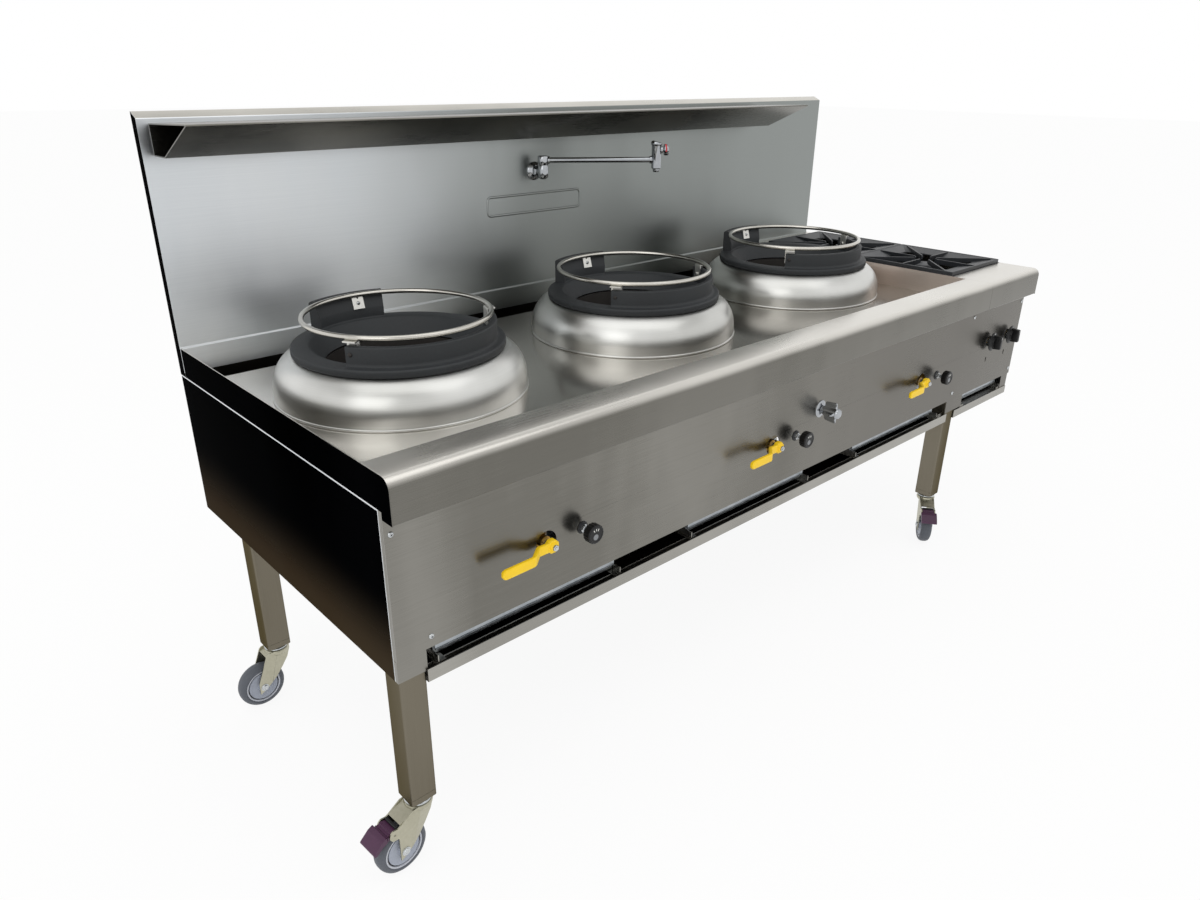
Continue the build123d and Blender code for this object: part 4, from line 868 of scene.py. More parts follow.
def restTab(turn):
    # a bent strip under the wire, held to the ring's back wall or collar by a screw and a nut
    inner, outer, footEnd, broad, length = restRing["tab"]
    high = restRing["height"]
    foot = high - restRing["wire"] + 0.5
    strip = folded([(inner, high - length), (inner, foot), (footEnd, foot)], [0, 3, 0], outer - inner)
    middle = high - length + broad / 2
    head = [(0, 3), (2.4, 2.7), (3.6, 1.6), (4, 0.4), (4, 0)]
    lumps = [pushed(strip, -broad / 2, broad / 2, "y", 1),
             turned(head, (185.3, 0, middle), (1, 0, 0), steps=24, finish=2),
             rodLump((166, 0, middle), (185.5, 0, middle), 2.5, 16, 2),
             hexNut((inner, 0, middle), (-1, 0, 0), 4.4, 3, 1)]
    return placed(lumps, (0, 0, 0), turn)


def restPlate():
    # a flat square with a notch and a screw, leaning along the back wall's inner face
    foot, lip, _, rise = ring["backWall"][:4]
    broad = restRing["tab"][3]
    half = broad / 2
    square = [(-half, 0), (half, 0), (half, broad), (3, broad), (0, broad - 4), (-3, broad),
              (-half, broad)]
    head = [(0, 3), (2.2, 2.7), (3.4, 1.6), (4, 0.4), (4, 0)]
    lumps = [plate(square, [], -2.5, 0, "x", 1),
             turned(head, (-2.5, 0, half), (-1, 0, 0), (0, 1, 0), steps=24, finish=3)]
    # the screw's cross is two black bars on its head, painted shade standing in for the recess
    for turn in np.radians((20, 110)):
        ends = [(-5.6, reach * np.cos(turn), half + reach * np.sin(turn)) for reach in (-2, 2)]
        lumps.append(swept(ends, cornered(-0.5, 0.5, -0.3, 0.1), up=(-1, 0, 0), finish=4))
    lean = np.degrees(np.arctan2(lip - foot, rise - ring["backFoot"]))
    low = dome["top"] + ring["thickness"] + ring["backFoot"]
    leaning = [moved(lump, lean, (foot, 0, low), "y") for lump in lumps]
    return placed(leaning, (0, 0, 0), restRing["plateAngle"])


def buildRestRings():
    # wire: a circle swept round a circle; two tabs carry it, and a plate stands at its back
    wire = swept(atHeight(circle(0, 0, restRing["radius"], 160), restRing["height"]),
                 circle(0, 0, restRing["wire"], 18), closed=True)
    lumps = []
    for x, y in wokCentres:
        fixed = [wire]
        for turn in restRing["tabAngles"]:
            fixed += restTab(turn)
        lumps += placed(fixed + restPlate(), (x, y, 0))
    looks = ("polishedRod", "whitePlate", "burnerIron", "brightZinc", "blackPartsAndRecessShade")
    makePiece("restRings", lumps, looks, "range", ["rest_rings"], bevel=0.5)


for number, centre in enumerate(wokCentres, 1):
    buildDome(number, centre)
    buildRing(number, centre)
buildRestRings()
print("domes, rings and rests made")


# The legs and the front rail.
legPlaces = {"fl": (26.5, 55), "rl": (26.5, 624), "fr": (1750, 55), "rr": (1750, 624)}
leg = {
    "size": 48,
    "wall": 3,
    "corner": 4,
    "bottom": 133,
    "top": 666,
    "cap": 12,
    "dish": (24, 8),  # radius and height of the raceway
    "pin": (6, 15, 9, 3),  # radius and length of its shank, radius and height of its head
}
rail = {
    "front": 26,
    "back": 41,
    "low": 369,
    "top": 394,
    "ends": (50.5, 1726),
}


def buildLegs():
    # a square tube's outline with a hole, pushed up; its foot has a cap ring and a spun raceway
    half, wall, low, corner = leg["size"] / 2, leg["wall"], leg["bottom"], leg["corner"]
    dishRadius, dishHeight = leg["dish"]
    pinRadius, pinLength, headRadius, headHeight = leg["pin"]
    seam, foot = low + leg["cap"], low - dishHeight - pinLength
    dish = [(0, -dishHeight), (dishRadius - 3, -dishHeight)]
    dish += arc(dishRadius - 2, -dishHeight + 3, 2, -70, 60, 5)
    dish += [(dishRadius - 4, -1.5), (dishRadius - 6, 0), (0, 0)]

    def square(reach, radius):
        return cornered(x - reach, x + reach, y - reach, y + reach, radius)

    lumps = []
    for x, y in legPlaces.values():
        bore = square(half - wall, 1)[::-1]
        lumps.append(plate(square(half, corner), [bore], seam + 0.5, leg["top"]))
        lumps.append(plate(square(half - 0.4, corner), [bore], seam - 0.5, seam + 1))
        lumps.append(pushed(square(half, corner), low, seam, "z"))
        lumps.append(turned(dish, (x, y, low), steps=64, finish=1))
        lumps.append(rodLump((x, y, foot), (x, y, low - dishHeight + 1), pinRadius, finish=1))
        lumps.append(hexNut((x, y, foot + 0.5), (0, 0, -1), headRadius, headHeight, 1))
    makePiece("legTubes", lumps, ["tubeSteel", "brightZinc"], "range", ["legs"],
              bevel=0.3, bevelSteps=1)


def buildFrontRail():
    # a channel's folded outline pushed along x
    front, back, low, top = rail["front"], rail["back"], rail["low"], rail["top"]
    channel = folded([(front, top), (front, low), (back, low), (back, top)], [0, 2, 2, 0], -sheet)
    makePiece("frontRail", [pushed(channel, *rail["ends"])], ["railSheet"], "range", ["front_rail"],
              bevel=0.4)


buildLegs()
buildFrontRail()
print("legs and front rail made")


# The gas levers, and the pilots' knobs, stems and bushes.
lever = {
    "path": [(0, 13), (-30, 13), (-54, -7), (-120, -8)],
    "halfWidth": 9,
    "halfThickness": 4,
    "hub": (13, 8, 20),  # corner radius, front and back of the eight-sided hub
    "boss": (8.5, 5),
    "nut": (6, 4),
    "stem": (7, 59),
}
stemEnd = 58  # where the pilots' and the hob's stems enter their valves
pilot = {
    "radius": 18,
    "front": -9,
    "back": 8,
    "flutes": 18,
    "stem": 4,
    "neck": (7, 6),
    "bush": (8, 15, 27.5),
}


def buildLever(number, x):
    # a box section with rounded corners along a cranked path; its width and thickness shrink
    # over the tip as the square root of 1 - u squared
    bent = softened(lever["path"], [0, 9, 9, 0], 8, closed=False)
    wide, thick = lever["halfWidth"], lever["halfThickness"]
    end = bent[-1]
    tip = [(end[0] + wide * (1 - np.cos(a)), end[1]) for a in np.linspace(1.5, 0.03, 12)]
    path = np.concatenate([bent[:-1], tip])
    left = path[:, 0] - end[0]
    over = np.clip((wide - left) / wide, 0, 1)
    point = np.clip((3 - left) / 3, 0, 1)
    scale = np.stack([np.sqrt(1 - over**2), np.sqrt(1 - point**2 * 0.9)], 1)
    lumps = [swept(atHeight(path, 0), cornered(-wide, wide, -thick, thick, 2.8, 4), up=(0, -1, 0),
                   scale=scale)]
    radius, front, back = lever["hub"]
    bossRadius, bossFront = lever["boss"]
    hub = [(0, back), (radius - 1, back), (radius, back - 1), (radius, front + 2), (radius - 1.6, front),
           (0, front)]
    lumps.append(turned(hub, axis=(0, 1, 0), start=22.5, steps=8))
    boss = [(0, front + 1), (bossRadius, front + 1), (bossRadius - 0.6, bossFront + 1.2),
            (bossRadius - 2, bossFront), (0, bossFront)]
    lumps.append(turned(boss, axis=(0, 1, 0), steps=40))
    nutRadius, nutHeight = lever["nut"]
    lumps.append(hexNut((0, bossFront, 0), (0, -1, 0), nutRadius, nutHeight, 1))
    lumps.append(rodLump((0, bossFront - nutHeight - 1.5, 0), (0, bossFront, 0), 3, finish=1))
    stemRadius, stemBack = lever["stem"]
    lumps.append(rodLump((0, back - 1, 0), (0, stemBack, 0), stemRadius, finish=1))
    makePiece(f"gasLever{number}", placed(lumps, (x, 0, controlHeight)), ["yellowGrip", "brightZinc"],
              f"lever_{number}", [f"valve_lever_{number}"], bevel=0.7, bevelSteps=3,
              crease=42)


def buildPilot(number, x):
    # a fluted lathe: its radius is scaled by 1 + 0.022 times the cosine of flutes times the angle
    place = (x + pilotOffset, 0, controlHeight)
    radius, front, back = pilot["radius"], pilot["front"], pilot["back"]

    def flutes(angle, around, height):
        return np.where(around > radius - 2.2, 1 + 0.022 * np.cos(pilot["flutes"] * angle), 1)

    knob = [(4.4, back), (radius - 4, back), (radius - 1.5, back - 1), (radius - 0.3, back - 3),
            (radius - 0.3, front + 3)]
    knob += arc(radius - 3, front + 2.7, 2.7, 0, -90, 4)
    knob += [(radius - 4.2, front), (radius - 4.8, front + 0.7), (0, front + 0.7)]
    mark = [(0, front + 1), (5.5, front + 1), (5.5, front + 0.3), (0, front + 0.3)]
    lumps = [turned(knob, axis=(0, 1, 0), steps=144, ripple=flutes),
             turned(mark, (-1, 0, -4.5), (0, 1, 0), steps=32, finish=1)]
    for turn in np.radians((60, 90, 120)):
        ends = [(r * np.cos(turn), front + 0.6, r * np.sin(turn)) for r in (7, 11.5)]
        lumps.append(swept(ends, cornered(-0.9, 0.9, 0, 0.3), up=(0, -1, 0), finish=2))
    makePiece(f"pilotKnob{number}", placed(lumps, place), ("blackKnob", "greyMark", "paleMark"),
              f"pilot_knob_{number}", [f"pilot_knob_{number}"], bevel=0.3)
    stem, (neckRadius, neckLength) = pilot["stem"], pilot["neck"]
    neck = [(0, -0.5), (stem, -0.5), (stem, back + 0.3), (neckRadius - 1, back + 0.3),
            (neckRadius, back + 1.3), (neckRadius - 0.5, back + neckLength - 2),
            (stem + 0.6, back + neckLength), (stem, back + neckLength), (stem, stemEnd), (0, stemEnd)]
    makePiece(f"pilotStem{number}", [turned(neck, place, (0, 1, 0), steps=40)], ["chrome"],
              f"pilot_stem_{number}", [f"pilot_stem_{number}"])


def buildBushes():
    # fixed collars round the stems, in the panel's holes
    lumps = []
    radius, front, back = pilot["bush"]
    for x in leverPlaces:
        place = (x + pilotOffset, 0, controlHeight)
        wall = [(4.3, back + 20), (4.3, front + 4), (5.6, front + 4), (6.2, front + 4.6),
                (6.2, back - 6), (radius, back - 5), (radius, back + 20)]
        lumps.append(turned(wall, place, (0, 1, 0), steps=6))
        rubber = [(7.2, back - 1), (11.4, back - 1), (11.8, back), (11.8, back + 3), (7.2, back + 3)]
        lumps.append(turned(rubber, place, (0, 1, 0), steps=48, finish=1))
    for x, z in panels["hobKnobs"]:
        wall = [(5.4, back + 20), (5.4, back - 5), (7.5, back - 5), (8.5, back - 4), (8.5, back + 20)]
        lumps.append(turned(wall, (x, 0, z), (0, 1, 0), steps=6))
    makePiece("stemBushes", lumps, ["brightZinc", "blackPartsAndRecessShade"], "range", [])


# The hob's knobs and stems.
hobKnob = {
    "skirt": (26, 4),
    "back": 18,
    "gripBase": (17, 6.7),
    "bar": (14, 38, -8),  # width, height and front
    "stem": 5,
}


def buildHobKnob(number, x, z):
    # skirt: a dished lathe; grip: an upright bar whose outline narrows towards the front
    radius, thickness = hobKnob["skirt"]
    back = hobKnob["back"]
    base, lip = hobKnob["gripBase"]
    wide, high, front = hobKnob["bar"]
    middle = back - thickness
    skirt = [(5.3, back), (radius - 1, back), (radius, back - 1), (radius, back - 2),
             (radius - 1.2, middle + 0.6)]
    skirt += [(base + 1.5, middle - 0.8), (base, middle - 2), (base - 1, middle - lip),
              (0, middle - lip)]
    lumps = [turned(skirt, axis=(0, 1, 0), steps=80)]
    rows = []
    for along, narrow in ((middle, 0.4), (middle - 6, 0), (front + 3, 0.7), (front + 0.8, 1.4),
                          (front, 2.6)):
        edge = cornered(-wide / 2 + narrow, wide / 2 - narrow, -high / 2 + narrow, high / 2 - narrow, 3)
        rows.append(atHeight(edge, along, "y"))
    lumps.append(gridLump(rows, wrapV=True, capU=True))
    dot = [(0, 0.8), (1.6, 0.6), (2, 0), (0, 0)]
    lumps.append(turned(dot, (0, middle + 0.2, radius - 3.6), (0, -1, 0), steps=20, finish=1))
    ends = [(0, front + 0.05, r) for r in (high / 2 - 10, high / 2 - 3.4)]
    lumps.append(swept(ends, cornered(-0.8, 0.8, -0.1, 0.25), up=(0, -1, 0), finish=1))
    makePiece(f"hobKnob{number}", placed(lumps, (x, 0, z)), ["blackKnob", "paleMark"],
              f"hob_knob_{number}", [f"hob_knob_{number}"], bevel=0.4)
    stem = [(0, 4), (hobKnob["stem"], 4), (hobKnob["stem"], stemEnd), (0, stemEnd)]
    makePiece(f"hobStem{number}", [turned(stem, (x, 0, z), (0, 1, 0), steps=32)],
              ["brightZinc"], f"hob_stem_{number}", [f"hob_stem_{number}"])


for number, x in enumerate(leverPlaces, 1):
    buildLever(number, x)
    buildPilot(number, x)
buildBushes()
for number, (x, z) in enumerate(panels["hobKnobs"], 1):
    buildHobKnob(number, x, z)
print("levers and knobs made")


# The tap on the panel and the faucet on the wall.
tap = {
    "rose": (20, 6),
    "neck": 9,
    "body": (11, 75),
    "branch": (10, 18),
    "reach": 24,
    "fins": (-13, 17),
    "nose": -23,
    "finCount": 4,
}
faucet = {
    "place": (899, 764, 1029),
    "flange": (22, 10),
    "post": 13,
    "postBottom": 1012,
    "joint": 1046,
    "sleeveTop": 1068,
    "pipe": (6.5, 1057),
    "reach": 282,
    "angle": -35,
    "valve": (12, 1036, 1092),
    "cap": (14, 10),
    "handle": (13, 18, 30, 1080),  # radius, start and end of its reach, height
}


def buildTap():
    # a lathe whose radius swells into fins, as the twentieth power of the cosine of half the fins' angle
    x, z = panels["tap"][:2]
    place = (x, 0, z)
    root = 11.5

    def fins(angle, around, height):
        lobe = abs(np.cos(tap["finCount"] / 2 * angle)) ** 20
        return np.where(around > root + 1, (root + (around - root) * lobe) / np.maximum(around, 1), 1)

    start, end = tap["fins"]
    reach, nose = tap["reach"], tap["nose"]
    handle = [(9.4, end), (11, end), (reach - 5, end - 1), (reach - 2, end - 4), (reach, start + 5),
              (reach, start + 2), (reach - 1.5, start), (13, start - 1), (root, start - 2),
              (11, nose + 5), (9.5, nose + 2), (6, nose + 0.5), (0, nose), (0, start), (9.4, start)]
    lumps = [turned(handle, place, (0, 1, 0), start=20, steps=160, ripple=fins),
             turned(arc(11.2, nose + 7, 1.1, 0, 330, 11), place, (0, 1, 0), steps=64)]
    makePiece("tapHandle", lumps, ["chrome"], "tap_handle", ["tap_handle"], crease=50)


def fluted(count, depth):
    def ripple(angle, around, height):
        return 1 + depth * np.cos(count * angle)
    return ripple


def buildWaterFittings():
    # tap: rose, fluted neck and a body behind the panel; faucet: flange, union and post
    x, z = panels["tap"][:2]
    front = body["panelFace"]
    roseRadius, roseHeight = tap["rose"]
    place = (x, 0, z)
    bore, outer = 8, tap["neck"]
    rose = [(bore, front), (roseRadius, front), (roseRadius, front - 1.5), (roseRadius - 2, front - 3.5),
            (outer + 3, front - roseHeight + 0.5), (outer + 1, front - roseHeight),
            (bore, front - roseHeight)]
    neck = [(4, 0.3), (outer - 0.6, 0.3), (outer - 0.3, 1), (outer - 0.3, front - 2), (4, front - 2)]
    bodyRadius, bodyEnd = tap["body"]
    branchRadius, branch = tap["branch"]
    middle = bodyEnd - bodyRadius
    lumps = [turned(rose, place, (0, 1, 0), steps=80),
             turned(neck, place, (0, 1, 0), steps=120, ripple=fluted(15, 0.03)),
             rodLump((x, -9, z), (x, 2, z), 4),
             rodLump((x, front - 1, z), (x, bodyEnd, z), bodyRadius, 32),
             hexNut((x, front + 2.2, z), (0, 1, 0), 17, 7),
             rodLump((x, middle, z - branch), (x, middle, z), branchRadius, 32)]
    px, py, pz = faucet["place"]
    radius, thickness = faucet["flange"]
    wallFace, wallEnd = splash["face"], body["depth"] - sheet
    flange = [(0, 0), (radius, 0), (radius, 2.5), (radius - 2, 4.5), (radius - 7, thickness - 1.5),
              (radius - 9, thickness), (0, thickness)]
    lumps.append(turned(flange, (px, wallFace, pz), (0, -1, 0), steps=72))
    lumps.append(hexNut((px, wallFace - thickness + 0.5, pz), (0, -1, 0), 13.5, 9))
    lumps.append(rodLump((px, py, pz), (px, wallEnd, pz), 9, 32))
    post, low, top = faucet["post"], faucet["postBottom"], faucet["joint"]
    side = [(0, low), (post - 6, low + 0.6), (post - 1.8, low + 4), (post, low + 8), (post, top - 1),
            (post - 0.6, top)]
    lumps.append(turned(side + [(0, top)], (px, py, 0), steps=64))
    lumps.append(rodLump((px, py, top - 1), (px, py, (top + faucet["sleeveTop"]) / 2), 6))
    makePiece("waterFittings", lumps, ["chrome"], "range", ["water_fittings"], crease=40)


def buildFaucetArm():
    # a sleeve on the post, a straight pipe, and an upright valve body with a slanted top
    px, py = faucet["place"][:2]
    turn = faucet["angle"]
    radius, low, top = faucet["post"], faucet["joint"] + 0.3, faucet["sleeveTop"]
    sleeve = [(6.1, low), (radius - 0.5, low), (radius, low + 0.6), (radius, top - 3),
              (radius - 1, top - 1)]
    sleeve += [(radius - 4, top), (0, top), (0, top - 8), (6.1, top - 8)]
    lumps = [turned(sleeve, steps=64)]
    pipeRadius, pipeHeight = faucet["pipe"]
    reach = faucet["reach"]
    lumps.append(rodLump((radius - 4, 0, pipeHeight), (reach, 0, pipeHeight), pipeRadius, 32))
    for at, wide in ((radius - 1, 5), (reach - 17, 6)):
        collar = [(0, 0), (pipeRadius + 2, 0), (pipeRadius + 2.4, 1), (pipeRadius + 2.4, wide - 1),
                  (pipeRadius + 1, wide), (0, wide)]
        lumps.append(turned(collar, (at, 0, pipeHeight), (1, 0, 0), steps=40))
    valve, bottom, crown = faucet["valve"]
    capRadius, capHeight = faucet["cap"]
    shell = [(0, bottom - 8), (6.5, bottom - 8), (7.4, bottom - 7.2), (8, bottom - 4), (8.4, bottom - 1),
             (valve - 1.5, bottom), (valve, bottom + 1.6), (valve, crown - 2), (capRadius - 1, crown),
             (capRadius, crown + 1.2), (capRadius, crown + 3)]
    shell += arc(capRadius - 6, crown + 4, 6, 0, 90, 6) + [(0, crown + capHeight)]
    tower = turned(shell, (reach, 0, 0), steps=72)
    lean = np.clip(tower["points"][:, 2] - crown - 3, 0, None)
    tower["points"][:, 2] -= lean * np.clip((tower["points"][:, 0] - reach + 8) / 26, 0, 1)
    lumps.append(tower)
    handleRadius, near, far, height = faucet["handle"]
    lumps.append(rodLump((reach, 0, height), (reach + 24, 0, height), 4))
    bonnet = [(0, 8), (8, 8), (8, valve + 3), (6.5, valve + 4.5), (0, valve + 4.5)]
    lumps.append(turned(bonnet, (reach, 0, height), (1, 0, 0), steps=40))
    makePiece("faucetArm", placed(lumps, (px, py, 0), turn), ["chrome"], "faucet_arm", ["faucet_arm"],
              crease=40)
    wheel = [(4.2, near + 0.4), (handleRadius - 3, near), (handleRadius - 0.6, near + 1),
             (handleRadius, near + 3), (handleRadius, far - 4)]
    wheel += arc(handleRadius - 4, far - 4, 4, 0, 90, 5) + [(0, far), (0, near + 7), (4.2, near + 7)]
    centre = (reach, 0, height)
    lumps = [turned(wheel, centre, (1, 0, 0), steps=120, ripple=fluted(10, 0.02))]
    band = [(handleRadius - 3, near + 2.4), (handleRadius + 0.5, near + 2.4),
            (handleRadius + 0.5, near + 6.5), (handleRadius - 3, near + 6.5)]
    lumps.append(turned(band, centre, (1, 0, 0), start=25, sweep=170, steps=40, finish=1))
    makePiece("faucetHandle", placed(lumps, (px, py, 0), turn), ["chrome", "redInsert"], "faucet_handle",
              ["faucet_handle"], crease=40)


buildTap()
buildWaterFittings()
buildFaucetArm()
print("tap and faucet made")


# The trivets and the burners under them.
trivet = {
    "left": 1814.2,
    "right": 2096,
    "spans": [(120, 432, 275), (434, 746, 590)],  # front, back and burner's y
    "top": 760,
    "low": 746,
    "band": 48,
    "fingers": 8,
    "finger": (30, 5),  # radius of the open eye, thickness
    "foot": 12,
}
hobBurner = {
    "cup": (40, 693),
    "flange": (52, 3),
    "head": (42, 22),
    "cap": (38, 8),
    "slots": 28,
}


def buildTrivets():
    # frame: a rectangle's outline in rows, each row set in and at its own height, so the band slopes
    left, right, top, low = trivet["left"], trivet["right"], trivet["top"], trivet["low"]
    band = trivet["band"]
    eye, thickness = trivet["finger"]
    middle = hobTop["burners"][0][0]
    lumps = []
    for front, back, centreY in trivet["spans"]:
        rows = []
        steps = [(0, low, 2), (0, top - 0.8, 2), (0.8, top, 2), (3.2, top, 2), (4, top - 1, 2),
                 (band, low + 5, 22), (band + 1.5, low + 3, 23), (band, low + 1, 22), (5, top - 6, 3),
                 (4, low, 3)]
        for inset, height, corner in steps:
            edge = cornered(left + inset, right - inset, front + inset, back - inset, corner, 6)
            rows.append(atHeight(edge, height))
        lumps.append(gridLump(rows, wrapU=True, wrapV=True))
        for n in range(trivet["fingers"]):
            turn = 360 / trivet["fingers"] * n
            across, along = np.abs([np.cos(np.radians(turn)), np.sin(np.radians(turn))])
            spanX, spanY = (right - left) / 2 - 3, (back - front) / 2 - 3
            reach = min(spanX / max(across, 0.01), spanY / max(along, 0.01)) - thickness
            blade = [(eye, low + 2), (eye + 12, low), (reach - 20, low), (reach, top - 9), (reach, top),
                     (eye + 4, top), (eye, top - 4)]
            lumps.append(moved(plate(blade, [], -thickness / 2, thickness / 2, "y"), turn,
                               (middle, centreY, 0)))
        for x in (left, right - trivet["foot"]):
            for y in (front, back - trivet["foot"]):
                foot = (x + 1, x + trivet["foot"] - 1, y + 1, y + trivet["foot"] - 1)
                lumps.append(bar(*foot, hobTop["panHeight"], top - 4))
    makePiece("hobTrivets", lumps, ["grateIron"], "range", ["trivets"], bevel=0.7)


def buildHobBurners():
    # a head whose rim has slots: its radius drops where a cosine of the angle is negative
    lumps = []
    cup, cupLow = hobBurner["cup"]
    flange, flangeHeight = hobBurner["flange"]
    head, headHeight = hobBurner["head"]
    cap, capHeight = hobBurner["cap"]

    def slots(angle, around, height):
        return np.where(around > head - 0.5, 1 - 0.035 * (np.cos(hobBurner["slots"] * angle) < -0.3), 1)

    for x, y in hobTop["burners"]:
        base = hobTop["panHeight"]
        crown = base + flangeHeight + headHeight
        profile = [(0, cupLow), (cup - 4, cupLow), (cup, cupLow + 4), (cup, base), (flange - 1, base),
                   (flange, base + 1), (flange - 1, base + flangeHeight),
                   (head - 3, base + flangeHeight + 1), (head - 3, crown - 11), (head, crown - 9),
                   (head, crown - 1), (head - 1.5, crown), (0, crown)]
        lumps.append(turned(profile, (x, y, 0), steps=224, ripple=slots))
        lid = [(0, crown), (cap - 1, crown), (cap, crown + 1), (cap, crown + 3)]
        lid += arc(cap - 14, crown + 3, 14, 0, 90, 6, capHeight - 3) + [(0, crown + capHeight)]
        lumps.append(turned(lid, (x, y, 0), steps=96, finish=1))
    makePiece("hobBurners", lumps, ["burnerIron", "grateIron"], "range", ["hob_burners"],
              crease=40)


buildTrivets()
buildHobBurners()
print("hob made")


# The drip trays and the ledges under their fronts.
tray = {
    "lefts": [76, 676, 1276],
    "width": 395,
    "hob": (1820, 232),
    "front": 50,
    "back": 590,
    "bottom": 396,
    "top": 423,
    "wall": 1.5,
    "lip": (6, 12),
}
ledge = {
    "front": 41.4,
    "back": 118,
    "low": 383,
    "top": 391,
    "thickness": 1.2,
    "hobEnds": (1816, 2094),
}


def buildTray(name, rides, left, width):
    # the front lip, front wall, floor and rear wall are one folded outline pushed across; ends close it
    front, back, low, top, wall = tray["front"], tray["back"], tray["bottom"], tray["top"], tray["wall"]
    right = left + width
    out, drop = tray["lip"]
    path = [(front - out, top - drop), (front - out, top), (front + wall, top),
            (front + wall, low + wall), (back - wall, low + wall), (back - wall, top)]
    lumps = [pushed(folded(path, [0, 2, 1.5, 3, 3, 0], wall), left + 1, right - 1)]
    side = softened([(front, low), (back, low), (back, top), (front, top)], [3, 3, 0, 0])
    lumps += [plate(side, [], x, x + wall, "x") for x in (left, right - wall)]
    lumps += [bar(x, x + 6, front - out + 0.3, front + 1, top - 1.6, top) for x in (left, right - 6)]
    hemFront, hemBack, hemTop = front - out - 0.4, front - out + 2.4, top - drop
    hem = [(hemFront, hemTop), (hemFront, hemTop - 1.6), (hemBack, hemTop - 1.6), (hemBack, hemTop)]
    lumps.append(pushed(folded(hem, [0, 1.2, 1.2, 0], 1), left + 1.5, right - 1.5))
    makePiece(name, lumps, ["traySheet"], rides, [rides], bevel=0.25, bevelSteps=1)


def buildTrayLedges():
    # thin folded strips behind the front rails, level under the trays, in steel painted dark as shade
    front, back, low, top = ledge["front"], ledge["back"], ledge["low"], ledge["top"]
    strip = folded([(front, top), (front, low), (back, low)], [0, 2, 0], ledge["thickness"])
    lumps = [pushed(strip, start, end) for start, end in (rail["ends"], ledge["hobEnds"])]
    makePiece("trayLedges", lumps, ["paintedShadeSteel"], "range", [])


buildTrayLedges()
for number, left in enumerate(tray["lefts"], 1):
    buildTray(f"dripTray{number}", f"drip_tray_{number}", left, tray["width"])
buildTray("dripTrayHob", "hob_drip_tray", *tray["hob"])
print("trays made")


# The casters are drawn with the wheel trailing along x, then turned about the swivel's axis.
casters = {"fl": 184, "rl": 181, "fr": 217, "rr": 160}
caster = {
    "trail": 44,
    "radius": 48,
    "tyre": (15, 36),  # half width and inner radius
    "hub": 11,
    "axle": (4, 7, 4),
    "cheek": (17, 2.5),
    "dish": (25, 112, 124.7),
    "pivot": (62, 97),
    "crease": ((6, 124), (27, 52)),  # two points on the cheeks' fold
    "bend": 0.32,  # how far the leading part moves inwards for each millimetre past the fold
    "webEnds": {True: (50, 110), False: (31, 116)},  # with and without a brake
    "pinHole": 6.1,
}
pedal = {
    "narrowHalf": 16,
    "wideHalf": 21,
}


def forkCheek(side, braked):
    # one flat cheek and, past the fold line, a leading part bent inwards:
    # its points move sideways by a share of their distance from the line
    dishRadius, low = caster["dish"][:2]
    inner, thick = caster["cheek"]
    (foldX, foldTop), (foldEnd, foldLow) = caster["crease"]
    if braked:
        outline = [(54.5, 33.5), (54.5, 85), (66, 86), (74, 97), (66, 108), (55, 106), (50, 108),
                   (25, 123)]
        rear = softened(outline, [3, 3, 6, 9, 7, 5, 4, 2], 5, closed=False)[1:]
    else:
        outline = [(56, 34), (54.5, 60), (34, 110), (30, 120), (25, 124)]
        rear = softened(outline, [3, 8, 5, 3, 0], 4, closed=False)[1:]
    cheek = [(foldX, foldTop), (foldEnd, foldLow), (38, 43), (54.5, 33.5)] + rear.tolist()
    nose = [(foldX, foldTop), (-dishRadius + 1, foldTop), (-dishRadius + 1, low + 1), (-17, 94),
            (-2, 76), (14, 60), (foldEnd, foldLow)]
    near, far = side * inner, side * (inner + thick)
    lumps = [plate(cheek, [], min(near, far), max(near, far), "y")]
    lead = plate(nose, [], min(near, far), max(near, far), "y")
    run = unit([foldEnd - foldX, foldLow - foldTop])
    away = (lead["points"][:, 0] - foldX) * run[1] - (lead["points"][:, 2] - foldTop) * run[0]
    lead["points"][:, 1] -= side * caster["bend"] * np.clip(away, 0, None)
    return lumps + [lead]


def buildFork(name, place, braked):
    dishRadius, low, top = caster["dish"]
    inner, thick = caster["cheek"]
    trail, radius = caster["trail"], caster["radius"]
    lumps = forkCheek(-1, braked) + forkCheek(1, braked)
    hole = caster["pinHole"]
    dish = [(hole, top), (dishRadius - 5, top), (dishRadius - 1.5, top - 1.2), (dishRadius, top - 4),
            (dishRadius - 0.6, top - 8), (dishRadius - 3, low + 1), (dishRadius - 5, low),
            (hole + 4, low), (hole, low)]
    lumps.append(turned(dish, steps=72))
    web = folded([(dishRadius - 6, top - 2.6), caster["webEnds"][braked]], 0, thick)
    lumps.append(pushed(web, -inner - 0.5, inner + 0.5, "y"))
    axle, head, headHeight = caster["axle"]
    reach = inner + thick
    for side in (-1, 1):
        cap = [(0, 0), (head + 1.2, 0), (head + 1.2, 0.9), (head - 0.5, 1.1), (head - 0.8, 2.4),
               (head - 2.2, 3.6), (3, headHeight), (2.2, headHeight - 1), (0, headHeight - 1)]
        lumps.append(turned(cap, (trail, side * reach, radius), (0, side, 0), steps=36, finish=1))
    lumps.append(rodLump((trail, -reach - 1, radius), (trail, reach + 1, radius), axle - 0.1, finish=1))
    makePiece(f"casterFork_{name}", placed(lumps, place, casters[name]), ["zinc", "brightZinc"],
              f"caster_{name}", [f"caster_{name}_fork"], bevel=0.5, crease=40)


